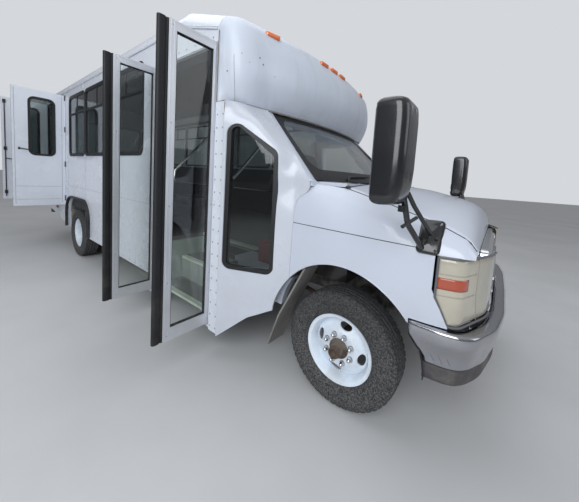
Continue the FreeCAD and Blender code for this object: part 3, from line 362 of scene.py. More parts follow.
def soft_outline(corners: Sequence[Flat], radii: float | Sequence[float], steps: int = 6) -> list[Flat]:
    """Rounds the corners of a flat outline.

    Args:
        corners: Corner points in order.
        radii: One radius, or one for each corner.
        steps: Pieces that each rounded corner is made of.

    Returns:
        The outline's points, the same number for every radius.
    """
    each = [radii] * len(corners) if isinstance(radii, (int, float)) else list(radii)
    points: list[Flat] = []
    for index, radius in enumerate(each):
        corner = Vector(corners[index])
        back = (Vector(corners[index - 1]) - corner).normalized()
        onward = (Vector(corners[(index + 1) % len(corners)]) - corner).normalized()
        half = back.angle(onward) / 2
        reach = radius / math.tan(half)
        centre = corner + (back + onward).normalized() * radius / math.sin(half)
        start, end = corner + back * reach - centre, corner + onward * reach - centre
        for step in range(steps + 1):
            turn = start.lerp(end, step / steps)
            if turn.length > 1e-9:
                turn = turn.normalized() * radius
            points.append(tuple(centre + turn))
    return points


def rectangle(low: Flat, high: Flat, grow: float = 0.0) -> list[Flat]:
    """Returns the four corners of an upright rectangle, grown all round."""
    (left, foot), (right, head) = (low[0] - grow, low[1] - grow), (high[0] + grow, high[1] + grow)
    return [(left, foot), (right, foot), (right, head), (left, head)]


def standing(outline: Iterable[Flat], place: float, axis: int = 1) -> list[Point]:
    """Stands a flat outline across an axis, 0, 1 or 2, at a place on it."""
    return [(*p[:axis], place, *p[axis:]) for p in outline]


def panel(low: Flat, high: Flat, radius: float, place: float, axis: int = 1,
          grow: float = 0.0) -> list[Point]:
    """Gives a rounded rectangle's outline, grown all round, at a place on the axis that it stands across."""
    return standing(soft_outline(rectangle(low, high, grow), radius), place, axis)


def moved(points: Iterable[Vector], x: float, y: float, z: float = 0.0) -> list[Vector]:
    """Moves points by a step along each axis."""
    return [point + Vector((x, y, z)) for point in points]


def turns(count: int) -> list[float]:
    """Gives evenly spaced angles round a circle."""
    return [2 * math.pi * step / count for step in range(count)]


def arc(centre: Flat, radius: float, start: float, step: float, count: int) -> list[Flat]:
    """Gives points round a centre, from an angle on by even steps in degrees."""
    angles = [math.radians(start + step * index) for index in range(count)]
    return [(centre[0] + radius * math.cos(a), centre[1] + radius * math.sin(a)) for a in angles]


def both_halves(columns: list[list[Vector]]) -> list[list[Vector]]:
    """Adds the mirrored copies of the right half's columns, up to the middle one."""
    return columns + [[Vector((p.x, -p.y, p.z)) for p in column] for column in reversed(columns[:-1])]


class Form:
    """A mesh under construction, in vehicle mm."""

    def __init__(self) -> None:
        """Starts an empty mesh."""
        self.mesh = bmesh.new()

    def faces(self, points: Iterable[Sequence[float]], faces: Iterable[Sequence[int]]) -> None:
        """Adds points and the faces that join them."""
        verts = [self.mesh.verts.new(p) for p in points]
        for face in faces:
            self.mesh.faces.new([verts[i] for i in face])

    def close(self, *rows: Sequence[Sequence[float]]) -> None:
        """Adds a face over each row of points."""
        for row in rows:
            self.faces(row, [range(len(row))])

    def prism(self, outline: Sequence[Sequence[float]], shift: Point) -> None:
        """Adds a closed prism between an outline and its copy moved by shift."""
        count = len(outline)
        copy = [tuple(a + b for a, b in zip(p, shift)) for p in outline]
        sides = [(i, (i + 1) % count, (i + 1) % count + count, i + count) for i in range(count)]
        self.faces([*outline, *copy], [range(count - 1, -1, -1), range(count, 2 * count), *sides])

    def box(self, low: Point, high: Point) -> None:
        """Adds an upright box."""
        (x0, y0, z0), (x1, y1, z1) = low, high
        self.prism([(x0, y0, z0), (x1, y0, z0), (x1, y1, z0), (x0, y1, z0)], (0, 0, z1 - z0))

    def ring(self, outer: Sequence[Sequence[float]], inner: Sequence[Sequence[float]], shift: Point) -> None:
        """Adds a closed band between two outlines of as many points, as thick as shift."""
        count = len(outer)
        points = [*outer, *inner]
        points += [tuple(a + b for a, b in zip(p, shift)) for p in points]
        faces = []
        for i in range(count):
            j = (i + 1) % count
            a, b, c, d = i, j, count + j, count + i
            faces += [(a, b, c, d), tuple(k + 2 * count for k in (d, c, b, a)),
                      (b, a, a + 2 * count, b + 2 * count), (d, c, c + 2 * count, d + 2 * count)]
        self.faces(points, faces)

    def grid(self, rows: Sequence[Sequence[Sequence[float]]], wrap: bool = False, loop: bool = False) -> None:
        """Adds a sheet of quads between rows of points.

        Args:
            rows: Rows with the same number of points.
            wrap: Whether each row closes on itself.
            loop: Whether the last row joins the first.
        """
        wide = len(rows[0])
        faces = []
        for r in range(len(rows) if loop else len(rows) - 1):
            below = (r + 1) % len(rows)
            for c in range(wide if wrap else wide - 1):
                d = (c + 1) % wide
                faces.append((r * wide + c, r * wide + d, below * wide + d, below * wide + c))
        self.faces([p for row in rows for p in row], faces)

    def lathe(self, profile: Sequence[Flat], centre: Point, steps: int = 72, axis: int = 1,
              ends: bool = False) -> None:
        """Turns a profile of (radius, offset) about an axis through centre.

        Args:
            profile: Radii and offsets along the axis.
            centre: Point on the axis.
            steps: Pieces round the axis.
            axis: 0, 1 or 2 for X, Y or Z.
            ends: Whether the first and last rings are closed by a face.
        """
        rows = []
        for radius, along in profile:
            ring = standing([(radius * math.cos(a), radius * math.sin(a)) for a in turns(steps)], along, axis)
            rows.append([tuple(a + b for a, b in zip(spot, centre)) for spot in ring])
        self.grid(rows, wrap=True)
        if ends:
            self.close(rows[0], rows[-1])

    def tube(self, path: Sequence[Sequence[float]], radius: float, sides: int = 14,
             bend: float = 0.0) -> None:
        """Adds a round bar along a path, with its corners rounded by bend."""
        line = [Vector(p) for p in path]
        if bend:
            bent = [line[0]]
            for before, corner, after in zip(line, line[1:], line[2:]):
                back, onward = (before - corner).normalized(), (after - corner).normalized()
                half = back.angle(onward) / 2
                centre = corner + (back + onward).normalized() * bend / math.sin(half)
                start = corner + back * bend / math.tan(half) - centre
                end = corner + onward * bend / math.tan(half) - centre
                bent += [centre + start.slerp(end, step / 6) for step in range(7)]
            line = bent + [line[-1]]
        rows = []
        normal = (line[1] - line[0]).orthogonal().normalized()
        for index, spot in enumerate(line):
            ahead = line[min(index + 1, len(line) - 1)] - line[max(index - 1, 0)]
            normal = (normal - ahead * normal.dot(ahead) / ahead.length_squared).normalized()
            other = ahead.normalized().cross(normal)
            rows.append([tuple(spot + (normal * math.cos(a) + other * math.sin(a)) * radius)
                         for a in turns(sides)])
        self.grid(rows, wrap=True)
        self.close(rows[0], rows[-1])

    def heads(self, places: Iterable[Sequence[float]], normal: Point, radius: float, height: float,
              sides: int = 10) -> None:
        """Adds round heads of bolts or rivets.

        Args:
            places: Middle of each head's foot.
            normal: Way that the heads stand.
            radius: Radius of a head.
            height: Height of a head.
            sides: Sides of a head.
        """
        up = Vector(normal).normalized()
        first = up.orthogonal().normalized()
        other = up.cross(first)
        for place in places:
            rows = [[tuple(Vector(place) + up * height * lift + (first * math.cos(a) + other * math.sin(a))
                           * radius * wide) for a in turns(sides)]
                    for wide, lift in ((1.0, -0.3), (1.0, 0.3), (0.8, 0.75), (0.35, 1.0))]
            self.grid(rows, wrap=True)
            self.close(rows[-1])

    def mirror(self) -> "Form":
        """Copies all of it to the other side of the centre plane."""
        made = bmesh.ops.duplicate(self.mesh, geom=[*self.mesh.verts, *self.mesh.edges, *self.mesh.faces])
        for item in made["geom"]:
            if isinstance(item, bmesh.types.BMVert):
                item.co.y = -item.co.y
        return self

    def piece(self, name: str, finish: Finish, body: str = "root", side: Side | None = None,
              bevel: float = 0.0, thick: float = 0.0, sharp: float = 35.0, weld: bool = False,
              slot: str = "") -> bpy.types.Object:
        """Turns the mesh into an object that rides on a body.

        Args:
            name: Name of the object.
            finish: Surface of the object.
            body: Body that carries it.
            side: Side that ends the name, where LEFT turns a piece drawn on the right over.
            bevel: Width of the rounding on sharp edges.
            thick: Thickness added below an open sheet.
            sharp: Angle above which an edge stays crisp, in degrees.
            weld: Whether points that lie together are merged.
            slot: Material slot of the record, by default the finish's. Not used.

        Returns:
            The new object.
        """
        if side:
            name = f"{name}_{side.word}"
        if side is Side.LEFT:
            for vert in self.mesh.verts:
                vert.co.y = -vert.co.y
        if weld:
            bmesh.ops.remove_doubles(self.mesh, verts=self.mesh.verts, dist=0.05)
        bmesh.ops.recalc_face_normals(self.mesh, faces=self.mesh.faces)
        for vert in self.mesh.verts:
            vert.co = at(*vert.co)
        mesh = bpy.data.meshes.new(name)
        self.mesh.to_mesh(mesh)
        self.mesh.free()
        mesh.polygons.foreach_set("use_smooth", [True] * len(mesh.polygons))
        mesh.set_sharp_from_angle(angle=math.radians(sharp))
        mesh.materials.append(finish.build())
        made = add_object(name, mesh)
        if thick:
            shell = made.modifiers.new("thickness", "SOLIDIFY")
            shell.thickness = thick * MM
            shell.offset = -1.0
        if bevel:
            edge = made.modifiers.new("edges", "BEVEL")
            edge.width = bevel * MM
            edge.segments = 2
            edge.limit_method = "ANGLE"
            edge.angle_limit = math.radians(40)
            edge.harden_normals = True
        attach(made, body)
        log.info("%s: %d faces", name, len(mesh.polygons))
        return made


def carve(made: bpy.types.Object, cutter: bpy.types.Object) -> None:
    """Cuts one object out of another and removes the cutter."""
    cut = made.modifiers.new("holes", "BOOLEAN")
    cut.operation = "DIFFERENCE"
    cut.solver = "EXACT"
    cut.object = cutter
    finished = bpy.data.meshes.new_from_object(made.evaluated_get(bpy.context.evaluated_depsgraph_get()))
    finished.set_sharp_from_angle(angle=math.radians(35))
    made.modifiers.clear()
    made.data = finished
    bpy.data.objects.remove(cutter)


@dataclass
class RoadWheels:
    """Steel wheels with ribbed tyres.

    Attributes:
        tyre_radius: Outer radius of a tyre.
        tyre_width: Width of a tyre.
        rim_radius: Radius of the bead seat.
        flange_radius: Radius of the rim's edge.
        rim_width: Width of the rim.
        front_y: Place of the front wheels' middle plane.
        rear_y: Place of the middle between two twin wheels.
        twin_spacing: Distance between twin wheels.
        wheelbase: Distance of the rear axle behind the front one.
        nut_ring: Radius of the nuts' circle.
        plate: Thickness of a wheel's disc.
    """

    tyre_radius: float = 372.0
    tyre_width: float = 223.0
    rim_radius: float = 203.0
    flange_radius: float = 221.0
    rim_width: float = 170.0
    front_y: float = 881.5
    rear_y: float = 987.0
    twin_spacing: float = 266.0
    wheelbase: float = 4470.0
    nut_ring: float = 90.0
    plate: float = 11.0

    def tyre(self, form: Form, x: float, y: float) -> None:
        """Adds a ribbed tyre whose shoulder ribs are notched.

        Args:
            form: Mesh that it goes into.
            x: Station of the axle.
            y: Middle plane of the tyre.
        """
        half, top, bead = self.tyre_width / 2, self.tyre_radius, self.rim_width / 2 - 9
        seat, steps = self.rim_radius + 0.5, 216
        flank = [(seat, -bead), (self.flange_radius + 2, -bead), (self.flange_radius + 5, -bead - 9),
                 (seat + 34, -half + 9), (seat + 37, -half + 7), (seat + 40, -half + 9),
                 (seat + 62, -half + 2), (seat + 92, -half), (seat + 95, -half), (top - 50, -half + 1),
                 (top - 47, -half + 3), (top - 28, -half + 7), (top - 20, -half + 11),
                 (top - 10, -half + 18), (top - 3.5, -half + 27), (top - 1.5, -half + 44)]
        ribs = []
        for start in (-66, -31, 4, 39):
            ribs += [(top - 10, start), (top - 10, start + 5), (top - 0.6, start + 6), (top, start + 16),
                     (top - 0.6, start + 26)]
        rows = []
        for radius, along in flank + ribs[:-3] + [(r, -y) for r, y in reversed(flank)]:
            row = []
            for step, turn in enumerate(turns(steps)):
                drop = 0.0
                if radius > top - 26 and abs(along) > half - 47 and step % 4 == 0:
                    drop = 6.0
                elif radius > top - 2 and step % 3 == 0:
                    drop = 1.6
                reach = radius - drop
                row.append((x + reach * math.cos(turn), y + along, top + reach * math.sin(turn)))
            rows.append(row)
        form.grid(rows, wrap=True, loop=True)

    def rim(self, form: Form, x: float, y: float, dish: float, lean: int) -> None:
        """Adds a closed steel rim with its dished disc.

        Args:
            form: Mesh that it goes into.
            x: Station of the axle.
            y: Middle plane of the wheel, seen on the right side.
            dish: Offset of the nut face from the middle plane.
            lean: Way that the disc's cone runs.
        """
        half, seat, edge = self.rim_width / 2, self.rim_radius, self.flange_radius
        outside = [(edge, -half), (edge + 2, -half + 4), (edge, -half + 8), (seat + 4, -half + 11),
                   (seat, -half + 16)]
        inside = [(edge - 5, half - 1), (seat - 3, half - 8), (seat - 9, half - 20), (seat - 19, half - 40)]
        barrel = [*outside, *((r, -along) for r, along in reversed(outside)),
                  *inside, *((r, -along) for r, along in reversed(inside))]
        self.turned(form, barrel, x, y)
        wave = [(58, 0), (62, -2), (104, -2), (112, 0), (120, 5), (134, 15), (150, 26), (164, 33), (176, 40),
                (186, 49), (192, 60)]
        face = [(r, dish + lean * h) for r, h in wave]
        self.turned(form, face + [(r, along + self.plate) for r, along in reversed(face)], x, y)

    def turned(self, form: Form, profile: Sequence[Flat], x: float, y: float) -> None:
        """Turns a closed profile about the axle."""
        form.grid([[(x + r * math.cos(a), y + along, self.tyre_radius + r * math.sin(a)) for a in turns(96)]
                   for r, along in profile], wrap=True, loop=True)

    def hand_holes(self, x: float, y: float, side: Side, start: float) -> bpy.types.Object:
        """Makes the cutter for four oval holes in the disc."""
        form = Form()
        for quarter in range(4):
            turn = math.radians(start + 90 * quarter)
            out, along = Vector((math.cos(turn), math.sin(turn))), Vector((-math.sin(turn), math.cos(turn)))
            ring = [out * (147 + 23 * math.sin(a)) + along * (42 * math.cos(a)) for a in turns(24)]
            form.prism([(x + p.x, y - 130, self.tyre_radius + p.y) for p in ring], (0, 260, 0))
        return form.piece("hole_cutter", wheel_paint, side=side)

    def hub(self, form: Form, x: float, y: float, dish: float) -> None:
        """Adds the cast hub and its cap in front of the disc."""
        centre = (x, y + dish, self.tyre_radius)
        form.lathe([(52, 30), (52, -8), (49, -12), (46, -14), (43, -40), (40, -58), (37, -63), (37, -70),
                    (35, -76), (29, -78), (26, -72), (17, -71), (14, -76), (5, -77)],
                   centre, steps=48, ends=True)
        form.lathe([(64, -2), (64, -7), (61, -9), (48, -9)], centre, steps=48)

    def nuts(self, form: Form, x: float, y: float, dish: float) -> None:
        """Adds eight domed nuts on their washers."""
        for index in range(8):
            turn = 2 * math.pi * (index + 0.5) / 8
            spot = (x + self.nut_ring * math.cos(turn), y + dish - 2,
                    self.tyre_radius + self.nut_ring * math.sin(turn))
            form.lathe([(19, 0), (19, -4), (16, -5)], spot, steps=16)
            form.lathe([(16, -4), (16, -20), (14, -23)], spot, steps=6)
            form.lathe([(13.5, -22), (13, -28), (10, -34), (4, -38), (0.5, -38.4)], spot, steps=16)

    def axle_end(self, side: Side, word: str, many: str, x: float, rims: Sequence[Point],
                 start: float) -> None:
        """Makes the wheels at one end of an axle, with their tyres, hub and nuts.

        Args:
            side: Side of the vehicle.
            word: front or rear.
            many: Ending of the words wheel and tyre, s for a pair.
            x: Station of the axle.
            rims: Middle plane, dish and lean of each rim, the outer one first.
            start: Angle of the first hand hole, in degrees.
        """
        body = f"{word}_wheel{many}_{side.word}"
        tyres, steel, hub, nuts = Form(), Form(), Form(), Form()
        for y, dish, lean in rims:
            self.tyre(tyres, x, y)
            self.rim(steel, x, y, dish, lean)
        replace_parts(tyres.piece(f"ribbed_tyre{many}_{word}", tyre_rubber, body, side, sharp=28),
                    f"tyre{many}_{word}_{side.word}")
        y, dish, _ = rims[0]
        wheel = steel.piece(f"steel_wheel{many}_{word}", wheel_paint, body, side)
        carve(wheel, self.hand_holes(x, y, side, start))
        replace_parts(wheel, f"wheel{many}_{word}_{side.word}")
        if word == "front":
            self.hub(hub, x, y, dish)
        else:
            hub.lathe([(60, 180), (60, 52), (57, 48), (57, 20), (52, 8), (50, -22), (46, -26), (30, -27),
                       (10, -24)], (x, y, self.tyre_radius), steps=48, ends=True)
        hub.piece(f"hub_{word}", rusty_hub, body, side, sharp=30)
        self.nuts(nuts, x, y, dish)
        nuts.piece(f"nuts_{word}", chrome, body, side, sharp=30)

    def build(self) -> None:
        """Makes all six wheels."""
        outer, inner = -self.rear_y - self.twin_spacing / 2, -self.rear_y + self.twin_spacing / 2
        for side in Side:
            self.axle_end(side, "front", "", 0.0, ((-self.front_y, -62.0, 1),), 80.0)
            self.axle_end(side, "rear", "s", -self.wheelbase, ((outer, 60.0, -1), (inner, -70.0, 1)), 45.0)


@dataclass
class PassengerBody:
    """Trim of the passenger body: window frames, gutters, rivets, flares and lamps.

    Attributes:
        half: Half width of the body.
        rear: Station of the rear face.
        entry: Front and rear stations of the entry doorway.
        slope_start: Station where the roof starts to slope down.
        eave: Height of the roof's joint behind and ahead of the slope.
        window_z: Lower and upper edge of the window holes.
        window_radius: Radius of the window holes' corners.
        right_windows: Stations of the holes on the right.
        left_windows: Stations of the holes on the left.
        arch: Half length, top and shoulder radius of the rear wheel's opening.
        arch_x: Station of the rear axle.
    """

    half: float = 1219.0
    rear: float = -6530.0
    entry: Flat = (-1000.0, -1972.0)
    slope_start: float = -1500.0
    eave: Flat = (2627.0, 2480.0)
    window_z: Flat = (1595.0, 2515.0)
    window_radius: float = 70.0
    right_windows: tuple[Flat, ...] = ((-3130.0, -2213.0), (-4080.0, -3163.0), (-4896.0, -4110.0))
    left_windows: tuple[Flat, ...] = (
        (-2577.0, -1660.0), (-3527.0, -2610.0), (-4477.0, -3560.0), (-5427.0, -4510.0), (-6246.0, -5460.0))
    arch: Point = (560.0, 905.0, 270.0)
    arch_x: float = -4470.0

    def outline(self, hole: Flat, grow: float, y: float) -> list[Point]:
        """Gives a window hole's outline, grown all round, at side place y."""
        low, high = self.window_z
        return panel((hole[0], low), (hole[1], high), max(self.window_radius + grow, 18.0), y, grow=grow)

    def window_frames(self, side: Side, holes: Sequence[Flat]) -> None:
        """Makes black window frames with a fixed lower pane and two sliding panes above."""
        form, gasket = Form(), Form()
        outside, (low, high) = -self.half, self.window_z
        split = high - 0.30 * (high - low)
        for hole in holes:
            form.ring(self.outline(hole, 16, outside - 6), self.outline(hole, -0.5, outside - 6), (0, 5.6, 0))
            form.ring(self.outline(hole, -0.5, outside - 6), self.outline(hole, -26, outside - 3), (0, 34, 0))
            gasket.ring(self.outline(hole, -26, outside + 2), self.outline(hole, -32, outside + 4),
                        (0, 22, 0))
            left, right = hole[0] + 24, hole[1] - 24
            middle = (left + right) / 2
            form.box((left, outside + 1, split - 15), (right, outside + 28, split + 15))
            form.box((left, outside - 3, split - 4), (right, outside + 2, split + 4))
            form.box((middle - 14, outside + 3, split + 14), (middle + 14, outside + 26, high - 24))
            for x in (left + 5, middle - 19, middle + 8, right - 17):
                form.box((x, outside + 6, split + 14), (x + 11, outside + 22, high - 26))
            form.box((middle - 34, outside + 26, split + 90), (middle - 14, outside + 36, split + 130))
        form.piece("window_frames", frame_black, side=side, bevel=1.5)
        gasket.piece("window_gaskets", black_rubber, side=side)

    def gutters(self) -> None:
        """Makes the drip rails over both sides."""
        form = Form()
        high, low = self.eave
        y = -self.half - 5
        for lift, radius, out in ((6, 7.5, 0), (20, 3.5, 2)):
            form.tube([(self.rear + 6, y + out, high + lift), (self.slope_start, y + out, high + lift),
                       (self.entry[0] - 6, y + out, low + lift)], radius, sides=10)
        form.mirror().piece("gutters", moulded_white)

    def rivets(self) -> None:
        """Sets rivets along the post beside the entry, over the doorway and on the skirt."""
        form = Form()
        front, rear = self.entry
        y = -self.half
        places = [(x, y, 240.0 + 96 * i) for x in (front + 84, front + 18) for i in range(18)]
        places += [(rear - 30, y, 240.0 + 118 * i) for i in range(18)]
        places += [(rear + 60 + 121 * i, y, 2440.0) for i in range(8)]
        places += [(rear - 90 - 150 * i, y, 410.0) for i in range(9)]
        form.heads(places, (0, -1, 0), 7.0, 3.2)
        form.piece("rivets", rivet_grey)

    def sealant(self) -> None:
        """Lays aged sealant down the corner post and along the joints of the body panels."""
        form = Form()
        front, rear = self.entry
        y = -self.half - 1.2
        form.tube([(front + 99, y, 215), (front + 99, y, 1955)], 2.6, sides=8)
        form.tube([(front + 2, y, 2476), (front + 2, y, 1968), (front + 96, y, 1966)], 2.4, sides=8)
        form.piece("sealant", sealant_brown)
        seams = Form()
        for x in (rear - 62, -3146.5, -4095.0, -5010.0):
            seams.box((x - 1.6, -self.half - 0.7, 392), (x + 1.6, -self.half + 2, 1570))
        seams.box((-5010, -self.half - 0.7, 1090), (rear - 62, -self.half + 2, 1092.5))
        seams.piece("panel_seams", seam_grey)

    def arch_line(self, grow: float) -> list[Flat]:
        """Gives the open outline of the rear wheel's opening, grown all round."""
        half, top, radius = self.arch
        half, top, radius = half + grow, top + grow, radius + grow
        line = [(self.arch_x + half, 400.0)]
        for way, start in ((1, 0.0), (-1, 90.0)):
            line += arc((self.arch_x + way * (half - radius), top - radius), radius, start, 9.0, 11)
        return line + [(self.arch_x - half, 400.0)]

    def flares(self) -> None:
        """Makes the rounded rubber flares over the rear wheels."""
        form = Form()
        section = [(0, 0.3), (0, 24), (2, 33), (8, 39), (15, 40), (23, 37), (28, 30), (30, 18), (30, 0.3)]
        rows = [[(x, -self.half - out, z) for x, z in self.arch_line(grow)] for grow, out in section]
        form.grid(rows)
        form.grid([rows[-1], rows[0]])
        form.close(*([row[end] for row in rows] for end in (0, -1)))
        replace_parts(form.mirror().piece("rounded_flares", black_rubber, weld=True), "wheel_flares")

    def side_lamps(self) -> None:
        """Makes red and amber marker lamps low on the sides."""
        red, amber, bases = Form(), Form(), Form()
        y = -self.half
        for form, x, z in ((amber, -5746.0, 650.0), (red, -6480.0, 760.0)):
            bases.box((x - 58, y - 6, z - 22), (x + 58, y + 1, z + 22))
            form.prism(panel((x - 50, z - 16), (x + 50, z + 16), 12, y - 5), (0, -14, 0))
        for form in (red, amber, bases):
            form.mirror()
        red.piece("red_markers", red_lens, bevel=3.0)
        amber.piece("amber_markers", amber_lens, bevel=3.0)
        bases.piece("marker_bases", dark_plastic, bevel=2.0)

    def rear_face(self) -> None:
        """Dresses the rear: window frame, lamps, blank plate and clearance lamps."""
        frame_form, lenses, rims, plate = Form(), Form(), Form(), Form()
        x = self.rear
        for grows, depth in (((16, -0.5), 6.6), ((-0.5, -26), 30.0)):
            outer, inner = (panel((-560, 1560), (560, 2400), 80 + grow, x - 7, 0, grow) for grow in grows)
            frame_form.ring(outer, inner, (depth, 0, 0))
        frame_form.piece("rear_window_frame", frame_black, bevel=1.5)
        for y in (-1060.0, 1060.0):
            for z in (1180.0, 1060.0, 940.0):
                spot = (x, y, z)
                rims.lathe([(50, -0.3), (60, -0.3), (61, -6), (57, -13), (51, -14)], spot, steps=40, axis=0)
                lenses.lathe([(51, -4), (51, -14), (47, -20), (36, -24), (34, -22.5), (32, -24.6), (18, -26),
                              (16, -24.4), (14, -26.2), (0.5, -26.5)], spot, steps=40, axis=0)
        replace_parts(lenses.piece("ribbed_tail_lenses", red_lens, sharp=25), "tail_lamps")
        rims.piece("tail_lamp_grommets", black_rubber)
        high = Form()
        for y in (-1080.0, -180.0, 0.0, 180.0, 1080.0):
            high.prism(panel((y - 48, 2560), (y + 48, 2590), 10, x, 0), (-22, 0, 0))
        high.piece("rear_clearance_lamps", red_lens, bevel=3.0)
        plate.prism(panel((-152, 1010), (152, 1162), 12, x, 0), (-3, 0, 0))
        plate.piece("blank_plate", blank_white)
        treads = Form()
        for i in range(46):
            treads.box((x - 108, -1125 + 50 * i, 580), (x - 46, -1113 + 50 * i, 582.5))
        treads.piece("bumper_treads", black_paint)

    def build(self) -> None:
        """Makes all of the body's trim."""
        self.window_frames(Side.RIGHT, self.right_windows)
        self.window_frames(Side.LEFT, self.left_windows)
        self.gutters()
        self.rivets()
        self.sealant()
        self.flares()
        self.side_lamps()
        self.rear_face()


@dataclass
class EntryDoors:
    """Two glazed entry leaves with aluminium frames and wide rubber edges.

    Attributes:
        axis_y: Side place of the pivots.
        stations: Stations of the front and rear pivot.
        reach: Length of a leaf from its pivot to the rubber's edge.
        rubber: Width of the rubber edge.
        bottom: Lower edge of a leaf.
        top: Upper edge of a leaf.
        thickness: Thickness of the frame.
        bar: Width of the upright bars.
        rails: Height of the lower and upper rail.
    """

    axis_y: float = -1200.0
    stations: Flat = (-1026.0, -1946.0)
    reach: float = 457.0
    rubber: float = 70.0
    bottom: float = 247.0
    top: float = 2390.0
    thickness: float = 38.0
    bar: float = 52.0
    rails: Flat = (92.0, 60.0)

    def leaf(self, word: str, x: float) -> None:
        """Makes one open leaf.

        Args:
            word: front or rear.
            x: Station of the leaf's pivot.
        """
        body, half = f"entry_door_{word}", self.thickness / 2
        edge = self.axis_y - self.reach
        near, far = self.axis_y, edge + self.rubber
        low, high = self.bottom, self.top
        hole = ((far + self.bar, low + self.rails[0]), (near - self.bar, high - self.rails[1]))
        metal, seal, edge_seal, steel = Form(), Form(), Form(), Form()
        outer = standing(rectangle((far, low), (near, high)), x - half, 0)
        inner = standing(rectangle(*hole), x - half, 0)
        metal.ring(outer, inner, (self.thickness, 0, 0))
        for side in (-1, 1):
            face = x + side * half
            x0, x1 = sorted((face, face + side * 2.2))
            for y in (far + 13, far + self.bar - 15, near - self.bar + 12, near - 14):
                metal.box((x0, y - 1.6, low + 2), (x1, y + 1.6, high - 2))
            x0, x1 = sorted((face, face + side * 1.8))
            for z in (low + 14, low + self.rails[0] - 14, high - 14):
                metal.box((x0, far + self.bar - 13, z - 1.6), (x1, near - self.bar + 10, z + 1.6))
        column = [(px, py, low) for px, py in arc((x, near), half, -90, 15, 25) if py >= near - 0.01]
        metal.prism(column, (0, 0, high - low))
        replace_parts(metal.piece(f"aluminium_frame_{word}", door_aluminium, body, bevel=1.6),
                    f"entry_leaf_{word}")
        outer, inner = (panel(*hole, radius, x - half + 5, 0, grow) for grow, radius in (
            (0.4, 2.0), (-6.0, 7.0)))
        seal.ring(outer, inner, (self.thickness - 10, 0, 0))
        seal.piece(f"glass_seal_{word}", black_rubber, body, bevel=1.0)
        profile = [(0, 16), (9, 16), (12, 11), (20, 11), (24, 17), (44, 18.5), (58, 17.5), (66, 13), (70, 5)]
        loop = [(x + h, far - d) for d, h in profile] + [(x - h, far - d) for d, h in reversed(profile)]
        edge_seal.prism([(px, py, low + 4) for px, py in loop], (0, 0, high - low - 8))
        edge_seal.piece(f"rubber_edge_{word}", door_rubber, body, bevel=1.2)
        for way in (1, -1):
            steel.heads([(x + way * half, y, z) for y in (far + self.bar / 2, near - self.bar / 2)
                         for z in (low + 40, low + 420, 1200, 1750, high - 30)], (way, 0, 0), 5.0, 2.4)
        for z0, z1 in ((low - 11.5, low + 3), (high - 3, high + 9)):
            steel.lathe([(13, z0), (13, z1)], (x, near, 0), steps=24, axis=2, ends=True)
        steel.piece(f"pivots_{word}", stainless, body)

    def surround(self) -> None:
        """Makes the aluminium door frame with its rubber flap stop and the header's cover."""
        form, flap = Form(), Form()
        front, rear = PassengerBody().entry
        for x0, x1 in ((rear + 0.5, rear + 9), (front - 9, front - 0.5)):
            form.box((x0, -1216, 217), (x1, -1182, 2397))
        form.box((rear + 9, -1216, 2388), (front - 9, -1182, 2397))
        form.piece("door_jambs", door_aluminium, bevel=1.5)
        for x in (rear + 10, front - 14):
            flap.box((x, -1180, 330), (x + 4, -1150, 2380))
        flap.piece("jamb_seals", black_rubber)

    def build(self) -> None:
        """Makes both leaves and their frame."""
        for word, x in zip(("front", "rear"), self.stations):
            self.leaf(word, x)
        self.surround()


